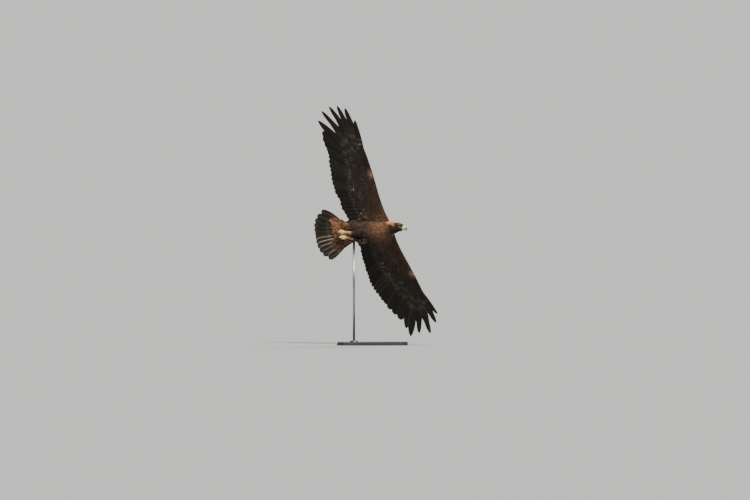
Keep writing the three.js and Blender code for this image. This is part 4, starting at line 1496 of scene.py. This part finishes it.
class EAGLE_OT_flight_feathers(bpy.types.Operator):
    """Makes the flight feathers of both wings and the long coverts over their roots"""

    bl_idname = "eagle.flight_feathers"
    bl_label = "Flight feathers"

    def execute(self, context):
        c = colours()
        finish = flight_finish("Flight feathers", c.flight, c.flight_base, 7.0, 0.7, 0.12)
        rows = (
            (1, "upper", c.panel, covert_finish("Long upper coverts", c.pale, 0.3)),
            (-1, "under", c.lower_coverts, covert_finish("Long under coverts", c.pale, 0.46)),
        )
        for label, side in SIDES:
            mesh = flight_feathers(label, side)
            add_piece(f"flight_feathers_{label}", mesh, finish, [f"wing_{label}"])
            for face, word, colour, flecked in rows:
                feathers = long_coverts(label, side, face)
                random = np.random.default_rng(sizes().seed + 31 + face)
                tones = varied(np.tile(linear(colour), (len(feathers), 1)), random, 0.12)
                if face > 0:
                    tones[SECONDARIES:] = linear(c.back) * 0.8
                name = f"long_coverts_{word}_{label}"
                mesh = long_feathers(name, feathers, tones, wing_place(side), mirror=side < 0)
                add_piece(name, mesh, flecked)
        return {"FINISHED"}


class EAGLE_OT_tail(bpy.types.Operator):
    """Makes the tail feathers and the coverts above and below them"""

    bl_idname = "eagle.tail"
    bl_label = "Tail"

    def execute(self, context):
        c = colours()
        finish = flight_finish("Tail feathers", c.tail, c.flight_base, 6.0, 0.76, 0.85)
        for (label, side), feathers in zip(SIDES, tail_feathers()):
            name = f"tail_feathers_{label}"
            quills = np.tile(rgba((0.42, 0.35, 0.28)), (len(feathers), 1))
            draws = (0.45, 1.0) if side > 0 else (0.0, 0.45)
            mesh = long_feathers(name, feathers, quills, tail_place(side), side < 0, draws)
            add_piece(name, mesh, finish, ["tail"] if side > 0 else [])

        def spacing(points, normals):
            back = TAIL_JOINT_X - points[:, 0]
            wide = np.abs(points[:, 1]) < 78 + 0.25 * back
            return np.where((back > -30) & (back < 84) & wide & (normals[:, 0] > -0.5), 7.6, 0)

        def heading(points):
            spread = points[:, 1] / 260
            return np.stack([-np.ones(len(points)), spread, 0 * spread], 1)

        def even(size):
            return lambda points: np.full(len(points), size)

        coat(
            "tail_coverts", tail_guide(), spacing,
            lambda points: mix(60, 82, smooth(TAIL_JOINT_X - points[:, 0], 0, 80)), even(15.5), even(4.2),
            heading, tail_tones, round_unwrap, posed_in_air, sizes().seed + 70, pale=0.12, amount=0.3,
        )
        return {"FINISHED"}


def tail_guide():
    """The surface that the tail's coverts lie on: its root with a thin sheet behind it."""
    rows = [(-40, 80, 25), (0, 90, 21), (40, 108, 13), (85, 135, 8), (125, 160, 5.2), (200, 190, 4.6)]
    turn = angles(48)
    rings = [on_tail(w * np.cos(turn), -back + 0 * turn, t * np.sin(turn)) for back, w, t in finer(rows, 26)]
    return Surface(plain_mesh(lofted(rings), "tail guide"))


# The head
# The way that the left eye looks
GAZE = np.array((0.24, 0.95, 0.17))
# The opening of the lids: how far in front of the eye's middle, half width, and height above and below
LID_AHEAD, LID_WIDE, LID_ABOVE, LID_BELOW = 3.9, 9.6, 6.9, 8.0


def eye_frame(side):
    """Two ways across an eye, the way that it looks, and its middle."""
    axis = unit(mirrored(GAZE, side))
    first = unit(np.cross(axis, (0.0, 0.0, 1.0)))
    return first, np.cross(axis, first), axis, mirrored(np.array(EYE, float), side)


def eye_mesh(name, side):
    """An eyeball with its pole at the pupil and a slight bulge of the cornea, marked with the angle from the
    pole."""
    bm = bmesh.new()
    bmesh.ops.create_uvsphere(bm, u_segments=40, v_segments=32, radius=EYE_RADIUS - 0.3)
    first, second, axis, centre = eye_frame(side)
    from_pole = []
    for v in bm.verts:
        polar = math.acos(max(-1.0, min(1.0, v.co.z / v.co.length)))
        from_pole.append(polar / math.pi)
        local = np.array(v.co) * (1 + 0.07 * math.exp(-((polar / 0.55) ** 2)))
        v.co = centre + first * local[0] + second * local[1] + axis * local[2]
    face_outward(bm, bm.faces)
    mesh = posed_mesh(bm, name)
    mark(mesh, from_pole)
    return mesh


def eye_finish():
    """A dark pupil and rim, and an iris with fine rays of lighter and darker brown."""
    f = Finish("Eye")
    polar = f.lie()[0]
    streaks = f.noise(f.place(), 900.0, 3.0)
    iris = f.shade(rgba(colours().iris), f.range(streaks, 0.3, 0.7, 0.6, 1.4))
    rim = f.range(polar, 0.2, 0.26)
    pupil = f.range(polar, 0.105, 0.115, 1.0, 0.0)
    colour = f.blend(f.greater(rim, pupil), iris, (0.006, 0.005, 0.004))
    return f.done(Base_Color=colour, Roughness=0.06, Coat_Weight=1.0, Coat_Roughness=0.02)


def lid_mesh(name, side):
    """The lids, a soft ring round the eye."""
    first, second, axis, centre = eye_frame(side)
    centre = centre + axis * LID_AHEAD
    steps, sides = 48, 14
    turn = angles(steps)
    high = np.where(np.sin(turn) * second[2] > 0, LID_ABOVE, LID_BELOW)
    path = centre + np.outer(np.cos(turn), first) * LID_WIDE + np.outer(np.sin(turn) * high, second)
    outward = unit(path - centre)[:, None, :]
    around = angles(sides)[None, :, None]
    thick = (1.9 + 0.7 * np.abs(np.sin(turn)))[:, None, None]
    rings = path[:, None, :] + thick * (np.cos(around) * outward + np.sin(around) * axis)
    bm = bmesh.new()
    bmesh.ops.create_grid(bm, x_segments=sides, y_segments=steps, size=1.0)
    for i, v in enumerate(list(bm.verts)):
        v.co = rings[(i // (sides + 1)) % steps][(i % (sides + 1)) % sides]
    bmesh.ops.remove_doubles(bm, verts=bm.verts, dist=1e-4)
    face_outward(bm, bm.faces)
    return posed_mesh(bm, name)


# The bill: place along x and z, slope of its line downward in degrees, half width, reach upward and downward
UPPER_BILL = [
    (291, 2, 6, 13, 13, 10.5), (297, 1.3, 10, 11.8, 12.6, 10), (303, 0, 17, 10, 11.7, 9.6),
    (309, -3, 27, 8.3, 10, 8.8), (314, -6.2, 38, 6.9, 8.6, 7.6), (318, -10, 51, 5.3, 6.9, 6.2),
    (321.5, -15, 64, 3.7, 4.7, 4.3), (323.6, -20.5, 76, 2.1, 2.6, 2.4), (324.2, -25.5, 84, 0.8, 0.9, 0.9),
]
LOWER_BILL = [
    (283, -12, 8, 11.5, 4, 6.5), (290, -13, 8, 10.4, 4, 6), (298, -14.2, 9, 8.3, 4, 5.2),
    (306, -16, 12, 5.6, 3, 3.8), (312, -17.5, 20, 2.2, 1.4, 1.8),
]
CERE = [(282.3, 3, 0, 15.5, 14.5, 12), (287, 2.6, 4, 15, 14.6, 11.8), (290.7, 2.2, 6, 14, 13.8, 11.2)]
# The left nostril: its place, how deep it is sunk, and its half width and height
NOSTRIL = Vector((287.2, 14.6, 7))
NOSTRIL_DEPTH, NOSTRIL_WIDE, NOSTRIL_HIGH = 3.4, 1.3, 2.4
# The corner of the mouth, from behind to the bill: x, y and z, how far it stands out, and its half height
MOUTH = [
    (258, 32, -7.5, -0.6, 0.5), (264, 30, -9.2, 0.5, 1.3), (272, 25, -10.4, 0.6, 1.8),
    (280, 17.5, -10.8, 0.7, 2.1), (288, 13.2, -10.6, -0.6, 2.2),
]


def bill_rings(rows, steps, sides):
    rings = []
    turn = angles(sides)
    for x, z, slope, half_width, up, down in finer(rows, steps):
        angle = math.radians(slope)
        reach = np.where(np.sin(turn) > 0, up, down) * np.sin(turn)
        ring = [x + reach * math.sin(angle), half_width * np.cos(turn), z + reach * math.cos(angle)]
        rings.append(np.stack(ring, 1))
    return rings


def bill_mesh(name, rows):
    """Half of the bill, with the share of its length marked at each place."""
    bm = lofted(bill_rings(rows, 36, 40))
    along = corners_of(bm)[:, 0]
    mesh = posed_mesh(bm, name)
    mark(mesh, (along - rows[0][0]) / (rows[-1][0] - rows[0][0]))
    return mesh


def horn_finish(name, base, tip, low, high):
    """Glossy horn that darkens toward its tip, with fine streaks along it."""
    f = Finish(name)
    along = f.lie()[0]
    grain = f.noise(f.place(), 420.0, 4.0)
    wear = f.noise(f.place(), 130.0, 3.0)
    factor = f.range(along + (wear - 0.5) * 0.12, low, high)
    colour = f.blend(factor, rgba(base), rgba(tip))
    colour = f.shade(colour, f.range(grain, 0.3, 0.7, 0.86, 1.12))
    return f.done(
        Base_Color=colour, Roughness=f.range(wear, 0.3, 0.7, 0.24, 0.4), Coat_Weight=0.3, Coat_Roughness=0.2,
        Normal=f.bump(grain, 0.15, 0.0004),
    )


def waxy_finish(name, colour, depth):
    """Bare waxy skin with fine creases, darker where a place's own mark is high: the painted shade of the
    nostrils.
    """
    f = Finish(name)
    tint = f.noise(f.place(), 70.0, 4.0)
    crease = f.range(f.cells(900.0), 0.0, 0.2)
    shade = (crease * 0.1 + 0.92) * f.range(tint, 0.3, 0.7, 0.84, 1.1) * (1.0 - f.lie()[0] * 0.9)
    return f.done(
        Base_Color=f.shade(rgba(colour), shade), Roughness=f.range(tint, 0.3, 0.7, 0.4, 0.55),
        Normal=f.bump(crease, 0.3, depth),
    )


def scaly_finish(name, colour):
    """Toes with broad plates across them and a grain of small scales between."""
    f = Finish(name)
    plate, shown, _ = f.lie()
    tint = f.noise(f.place(), 60.0, 4.0)
    crease = f.range(f.cells(620.0), 0.0, 0.16)
    edge = f.greater(f.range(plate, 0.0, 0.14, 1.0, 0.0), f.range(plate, 0.9, 1.0))
    groove = 1.0 - edge * shown
    shade = (groove * 0.4 + 0.6) * (crease * 0.12 + 0.9) * f.range(tint, 0.3, 0.7, 0.82, 1.1)
    warmer = rgba(np.array(colour) * (1, 0.93, 0.8))
    base = f.blend(f.range(tint, 0.4, 0.62), warmer, rgba(colour))
    return f.done(
        Base_Color=f.shade(base, shade), Roughness=f.range(tint, 0.3, 0.7, 0.42, 0.58),
        Normal=f.bump(groove * 0.8 + crease * 0.2, 0.5, 0.0005),
    )


def sunk(place):
    """How far the nostril on its side sinks a place of the cere, from 0 to 1, which also sets its painted
    shade.
    """
    if abs(place.y) <= 6:
        return 0
    away = place - Vector((NOSTRIL.x, math.copysign(NOSTRIL.y, place.y), NOSTRIL.z))
    wide, high = (away.x + 0.35 * away.z) / NOSTRIL_WIDE, away.z / NOSTRIL_HIGH
    return math.exp(-((wide**2 + high**2) ** 1.5))


def cere_mesh():
    """The cere, with both nostrils sunk into it and marked dark as painted shade in their openings."""
    bm = lofted(bill_rings(CERE, 40, 96))
    # The nostrils' openings are painted dark as shade, as far as each place is sunk
    dark = [sunk(v.co) for v in bm.verts]
    for v, near in zip(bm.verts, dark):
        v.co.y -= math.copysign(NOSTRIL_DEPTH * near, v.co.y)
    mesh = posed_mesh(bm, "cere")
    mark(mesh, dark)
    return mesh


def gape_mesh(name, side):
    """The fleshy edge of the mouth, laid on the face from the bill back to below the eye."""
    rows = finer(MOUTH, 26)
    line = mirrored(rows[:, :3], side)
    spots, ups = skin_surface().nearest(line)
    free = smooth(rows[:, 0], 279, 284)[:, None]
    path = mix(spots + ups * rows[:, 3:4], line, free)
    return posed_mesh(lofted(limb_rings(path, rows[:, 4] * 0.62, 16, (0, 0, 1), 1.6)), name)


class EAGLE_OT_head_parts(bpy.types.Operator):
    """Makes the eyes, lids, cere, gape and bill"""

    bl_idname = "eagle.head_parts"
    bl_label = "Eyes and bill"

    def execute(self, context):
        c = colours()
        eye = eye_finish()
        lid = waxy_finish("Lids", (0.2, 0.17, 0.13), 0.0003)
        cere = waxy_finish("Cere and gape", c.cere, 0.0001)
        horn = horn_finish("Bill", c.bill_base, c.bill_tip, 0.38, 0.76)
        for label, side in SIDES:
            add_piece(f"eyeball_{label}", eye_mesh(f"eyeball_{label}", side), eye, [f"eye_{label}"])
            add_piece(f"lids_{label}", lid_mesh(f"lids_{label}", side), lid)
            add_piece(f"gape_{label}", gape_mesh(f"gape_{label}", side), cere)
        add_piece("cere_skin", cere_mesh(), cere, ["cere"])
        add_piece("upper_bill", bill_mesh("upper_bill", UPPER_BILL), horn, ["bill_upper"])
        add_piece("lower_bill", bill_mesh("lower_bill", LOWER_BILL), horn, ["bill_lower"])
        return {"FINISHED"}


# A toe's start sideways and upward, its direction in degrees, its length, radius and curl, and its claw's
# length and hook
Toe = namedtuple("Toe", "across up direction length radius curl claw hook")
TOES = {
    "inner": Toe(-8, -1, -6, 38, 7.2, 9, 34, 75),
    "middle": Toe(0, -3, 1, 56, 7.2, 7, 30, 75),
    "outer": Toe(8, -1, 8, 40, 6.3, 7, 25, 75),
    "hind": Toe(-4, 13, -14, 24, 6, 4, 32, 34),
}
FOOT = (-232, 22, -49)
# How many rings a toe has, and the length of one plate along its back
TOE_RINGS = 60
PLATE = 4.6


def toe_path(toe):
    side, curl = math.radians(toe.direction), math.radians(toe.curl)
    points = [np.array(FOOT) + (6, toe.across, toe.up)]
    for k in range(1, 5):
        rise = curl * (k / 4) * 1.6 - curl * 0.5
        flat, high = math.cos(rise) * toe.length / 4, math.sin(rise) * toe.length / 4
        points.append(points[-1] + (-flat * math.cos(side), flat * math.sin(side), high))
    return np.array(points)


def claw_path(toe):
    points = toe_path(toe)
    along = unit(points[4] - points[3])
    side = math.radians(toe.direction)
    level_way = np.array([-math.cos(side), math.sin(side), 0])
    start = math.asin(along[2])
    path = [points[4] - along * 1.5]
    steps = 5
    step = toe.claw / steps
    for k in range(steps):
        rise = start + math.radians(toe.hook) * k / (steps - 1)
        path.append(path[-1] + level_way * math.cos(rise) * step + np.array([0, 0, math.sin(rise) * step]))
    return np.array(path)


def toe_marks(points, side):
    """Where each place lies within its toe's plates, and how plainly the plates show there."""
    best = np.full(len(points), 1e9)
    plate, shown = np.ones(len(points)), np.zeros(len(points))
    for toe in TOES.values():
        path = mirrored(finer(toe_path(toe), TOE_RINGS), side)
        away = points[:, None, :] - path[None]
        far = np.linalg.norm(away, axis=2)
        step = far.argmin(1)
        nearest = far.min(1)
        closer = nearest < best
        best = np.where(closer, nearest, best)
        share = step / (TOE_RINGS - 1)
        plate = np.where(closer, (share * toe.length / PLATE) % 1, plate)
        drop = -away[np.arange(len(points)), step, 2] / np.maximum(nearest, 1e-6)
        shown = np.where(closer, smooth(drop, -0.1, 0.5) * smooth(share, 0.05, 0.15), shown)
    return np.stack([plate, shown, 0 * plate], 1)


def toe_rings(toe, side):
    """A toe with broad scutes along its back, swollen joints and pads beneath."""
    radii = toe.radius * np.array([0.92, 1.04, 0.84, 0.98, 0.66])
    fine = finer(np.column_stack([toe_path(toe), radii]), TOE_RINGS)
    rings = limb_rings(mirrored(fine[:, :3], side), fine[:, 3], 28)
    share = np.linspace(0, 1, TOE_RINGS)
    scute = (share * toe.length / PLATE) % 1
    plate = 0.7 * (1 - scute) ** 2 * smooth(share, 0.02, 0.1)
    pad = 0.9 * np.maximum(np.sin(share * math.pi * 4.0), 0) * smooth(share, 0.1, 0.3)
    outward = unit(rings - rings.mean(1, keepdims=True))
    # The foot is tucked up, so its sole faces the tail above it and the toes' backs face down
    sole = np.clip(outward[:, :, 2], 0, 1)
    back = np.clip(-outward[:, :, 2], 0, 1)
    grow = plate[:, None] * back + pad[:, None] * sole
    return rings + outward * grow[..., None]


def toes_mesh(name, side):
    """One foot's ankle and toes, with the marks of their plates."""
    ankle = finer(LEG, 60)[44:]
    shank = limb_rings(mirrored(ankle[:, :3], side), ankle[:, 3] - 1.2, 24)
    bm = lofted(shank, *[toe_rings(toe, side) for toe in TOES.values()])
    marks = toe_marks(corners_of(bm), side)
    mesh = posed_mesh(bm, name)
    paint(mesh, "lie", marks)
    return mesh


def claw_mesh(name, toe, side):
    """A toe's claw, with the share of its length marked at each place."""
    radii = toe.radius * 0.6 * np.array([1, 0.92, 0.75, 0.55, 0.32, 0.04])
    rows = finer(np.column_stack([claw_path(toe), radii]), 26)
    path = mirrored(rows[:, :3], side)
    bm = lofted(limb_rings(path, rows[:, 3], 20, flatten=1.15))
    share = np.linalg.norm(corners_of(bm) - path[0], axis=1) / toe.claw
    mesh = posed_mesh(bm, name)
    mark(mesh, share)
    return mesh


class EAGLE_OT_feet(bpy.types.Operator):
    """Makes the scaly toes and the claws"""

    bl_idname = "eagle.feet"
    bl_label = "Feet and claws"

    def execute(self, context):
        c = colours()
        scaly = scaly_finish("Scaly toes", c.foot)
        horn = horn_finish("Claws", tuple(0.8 * v for v in c.bill_tip), c.bill_tip, 0.0, 0.6)
        for label, side in SIDES:
            add_piece(f"toes_{label}", toes_mesh(f"toes_{label}", side), scaly, [f"foot_{label}"])
            for toe in TOES:
                name = f"talon_{toe}_{label}"
                add_piece(name, claw_mesh(name, TOES[toe], side), horn, [f"claw_{toe}_{label}"])
        return {"FINISHED"}


# The stand
# The base's rounded corners and its softened rim, and the gap between collar and rod
CORNER, RIM = 0.060, 0.003
GAP = 0.0003


def painted_wood():
    """Satin black paint that shows a faint grain."""
    f = Finish("Satin black base")
    grain = f.noise(f.vector_math("MULTIPLY", f.place(), (1.0, 14.0, 14.0)), 18.0, 5.0)
    wear = f.noise(f.place(), 7.0, 4.0)
    colour = f.shade(rgba(colours().base), f.range(grain, 0.3, 0.7, 0.85, 1.2))
    return f.done(
        Base_Color=colour, Roughness=f.range(wear, 0.3, 0.7, 0.34, 0.5), Coat_Weight=0.2, Coat_Roughness=0.3,
        Normal=f.bump(grain, 0.12, 0.0005),
    )


def brushed_metal():
    """Steel with fine lines along the rod."""
    f = Finish("Brushed steel")
    lines = f.noise(f.vector_math("MULTIPLY", f.place(), (60.0, 60.0, 2.0)), 30.0, 3.0)
    colour = f.shade(rgba((0.62, 0.63, 0.64)), f.range(lines, 0.3, 0.7, 0.9, 1.08))
    return f.done(
        Base_Color=colour, Metallic=1.0, Roughness=f.range(lines, 0.3, 0.7, 0.26, 0.4),
        Normal=f.bump(lines, 0.08, 0.0002),
    )


def lies_at(edge, z):
    """Whether an edge lies level at a height."""
    return all(abs(v.co.z - z) < 1e-5 for v in edge.verts)


def base_mesh():
    """A board with rounded corners and a softened rim above and below."""
    low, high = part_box("stand_base")
    size = high - low
    bm = bmesh.new()
    bmesh.ops.create_cube(bm, size=1.0)
    for v in bm.verts:
        v.co = Vector([low[k] + (v.co[k] + 0.5) * size[k] for k in range(3)])
    upright = [e for e in bm.edges if abs(e.verts[0].co.z - e.verts[1].co.z) > 0.5 * size.z]
    bmesh.ops.bevel(bm, geom=upright, offset=CORNER, segments=14, affect="EDGES", profile=0.5, material=-1)
    rims = [e for e in bm.edges if lies_at(e, high.z) or lies_at(e, low.z)]
    bmesh.ops.bevel(bm, geom=rims, offset=RIM, segments=3, affect="EDGES", profile=0.5, material=-1)
    return plain_mesh(bm, "base")


def smooth_sided(mesh):
    """Smooths a turned shape round its sides and leaves its ends flat."""
    for polygon in mesh.polygons:
        polygon.use_smooth = abs(polygon.normal.z) < 0.6
    return mesh


def rod_mesh():
    low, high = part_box("stand_rod")
    radius = (high.x - low.x) / 2
    bm = bmesh.new()
    bmesh.ops.create_cone(
        bm, cap_ends=True, segments=48, radius1=radius, radius2=radius, depth=high.z - low.z,
        matrix=Matrix.Translation((low + high) / 2),
    )
    return smooth_sided(plain_mesh(bm, "rod"))


def collar_mesh():
    """A collar turned round the rod, upright below and tapered above."""
    rod_low, rod_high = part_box("stand_rod")
    middle = (rod_low + rod_high) / 2
    inner = (rod_high.x - rod_low.x) / 2 + GAP
    low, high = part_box("stand_collar")
    radius, tall = (high.x - low.x) / 2, high.z - low.z
    profile = [
        (inner, 0), (radius - 0.001, 0), (radius, 0.001), (radius, tall * 0.4 - 0.001),
        (radius - 0.001, tall * 0.4), (radius * 0.64, tall - 0.001), (radius * 0.6, tall), (inner, tall),
    ]
    bm = bmesh.new()
    corners = [bm.verts.new((middle.x + r, middle.y, low.z + z)) for r, z in profile]
    edges = [bm.edges.new(pair) for pair in zip(corners, corners[1:] + corners[:1])]
    bmesh.ops.spin(
        bm, geom=corners + edges, cent=(middle.x, middle.y, 0), axis=(0, 0, 1), angle=2 * math.pi, steps=64,
        use_merge=True,
    )
    bmesh.ops.remove_doubles(bm, verts=bm.verts, dist=1e-6)
    face_outward(bm, bm.faces)
    return smooth_sided(plain_mesh(bm, "collar"))


class EAGLE_OT_stand(bpy.types.Operator):
    """Makes the base with its rounded edge, and the rod in its collar"""

    bl_idname = "eagle.stand"
    bl_label = "Stand"

    def execute(self, context):
        metal = brushed_metal()
        add_piece("base_board", base_mesh(), painted_wood(), ["stand_base"])
        add_piece("rod", rod_mesh(), metal, ["stand_rod"])
        add_piece("collar", collar_mesh(), metal, ["stand_collar"])
        return {"FINISHED"}


# The stage
FLOOR_TONE = (0.39, 0.395, 0.4)
# The camera's place to the right of the stand's middle, and its height
CAMERA_RIGHT, CAMERA_HEIGHT = 0.020, 0.755


def floor_finish():
    """An even pale floor with the faintest clouds."""
    f = Finish("Pale floor")
    cloud = f.noise(f.place(), 0.6, 2.0)
    colour = f.shade(FLOOR_TONE, f.range(cloud, 0.3, 0.7, 0.995, 1.005))
    return f.done(Base_Color=colour, Roughness=1.0, Specular_IOR_Level=0.0)


def soft_sun(name, strength, azimuth, elevation, spread, colour):
    """An even soft light from far off, and how much it brightens a level floor."""
    light = bpy.data.lights.new(name, "SUN")
    light.energy = strength
    light.angle = math.radians(spread)
    light.color = colour
    obj = bpy.data.objects.new(name, light)
    turn, rise = math.radians(azimuth), math.radians(elevation)
    toward = Vector((math.sin(turn) * math.cos(rise), -math.cos(turn) * math.cos(rise), math.sin(rise)))
    obj.location = toward * 4
    obj.rotation_euler = toward.to_track_quat("Z", "Y").to_euler()
    bpy.context.scene.collection.objects.link(obj)
    return np.array(colour) * strength * math.sin(rise) / math.pi


def studio_world(glow, seen):
    """A world that lights with a soft glow, and looks as pale as the lit floor so that no horizon shows."""
    f = Finish("studio", "World")
    camera_ray = f.node("ShaderNodeLightPath", output="Is Camera Ray")
    lights = [f.node("ShaderNodeBackground", {}, {"Color": (*colour, 1.0)}) for colour in (glow, seen)]
    bpy.context.scene.world = f.ends_in(f.node("ShaderNodeMixShader", {}, [camera_ray, *lights]))


class EAGLE_OT_stage(bpy.types.Operator):
    """Sets the camera, the floor, the lights and the world"""

    bl_idname = "eagle.stage"
    bl_label = "Camera, floor and lights"

    def execute(self, context):
        s = context.scene.eagle_stage
        camera = bpy.data.cameras.new("camera")
        camera.lens = s.lens
        camera.sensor_width = 36
        camera.clip_start, camera.clip_end = 1.0, 400.0
        obj = bpy.data.objects.new("camera", camera)
        obj.location = (CAMERA_RIGHT, -s.distance, CAMERA_HEIGHT)
        obj.rotation_euler = (math.pi / 2, 0, 0)
        context.scene.collection.objects.link(obj)
        context.scene.camera = obj
        bm = bmesh.new()
        bmesh.ops.create_circle(bm, cap_ends=True, segments=96, radius=s.floor_radius)
        floor = bpy.data.objects.new("floor", plain_mesh(bm, "floor"))
        floor.data.materials.append(floor_finish())
        context.scene.collection.objects.link(floor)
        glow = np.array((0.95, 0.98, 1.05)) * s.ambient
        lit = glow + soft_sun("key", s.key_strength, 16, 41, 16, (1.0, 0.96, 0.9))
        lit = lit + soft_sun("back", s.key_strength * 0.24, 165, 50, 30, (0.96, 0.98, 1.0))
        studio_world(tuple(glow), tuple(lit * np.array(FLOOR_TONE)))
        return {"FINISHED"}


class EAGLE_PT_panel(bpy.types.Panel):
    """Lists what builds the eagle"""

    bl_idname = "EAGLE_PT_panel"
    bl_label = "Soaring eagle"
    bl_space_type = "VIEW_3D"
    bl_region_type = "UI"
    bl_category = "Eagle"

    def draw(self, context):
        scene = context.scene
        for group in (scene.eagle_sizes, scene.eagle_colours, scene.eagle_stage):
            column = self.layout.column()
            for name in group.__annotations__:
                column.prop(group, name)
        for operator in OPERATORS:
            self.layout.operator(operator.bl_idname)


OPERATORS = (
    EAGLE_OT_stage, EAGLE_OT_skin, EAGLE_OT_body_coat, EAGLE_OT_leg_coat, EAGLE_OT_flight_feathers,
    EAGLE_OT_wing_coverts, EAGLE_OT_tail, EAGLE_OT_head_parts, EAGLE_OT_feet, EAGLE_OT_stand,
)
GROUPS = {"eagle_colours": EagleColours, "eagle_sizes": EagleSizes, "eagle_stage": StageSettings}


def register():
    for cls in (*GROUPS.values(), *OPERATORS, EAGLE_PT_panel):
        bpy.utils.register_class(cls)
    for name, group in GROUPS.items():
        setattr(bpy.types.Scene, name, bpy.props.PointerProperty(type=group))


def unregister():
    for name in GROUPS:
        delattr(bpy.types.Scene, name)
    for cls in (EAGLE_PT_panel, *reversed(OPERATORS), *GROUPS.values()):
        bpy.utils.unregister_class(cls)


def main():
    register()
    for operator in OPERATORS:
        area, name = operator.bl_idname.split(".")
        getattr(getattr(bpy.ops, area), name)()


if __name__ == "__main__":
    main()
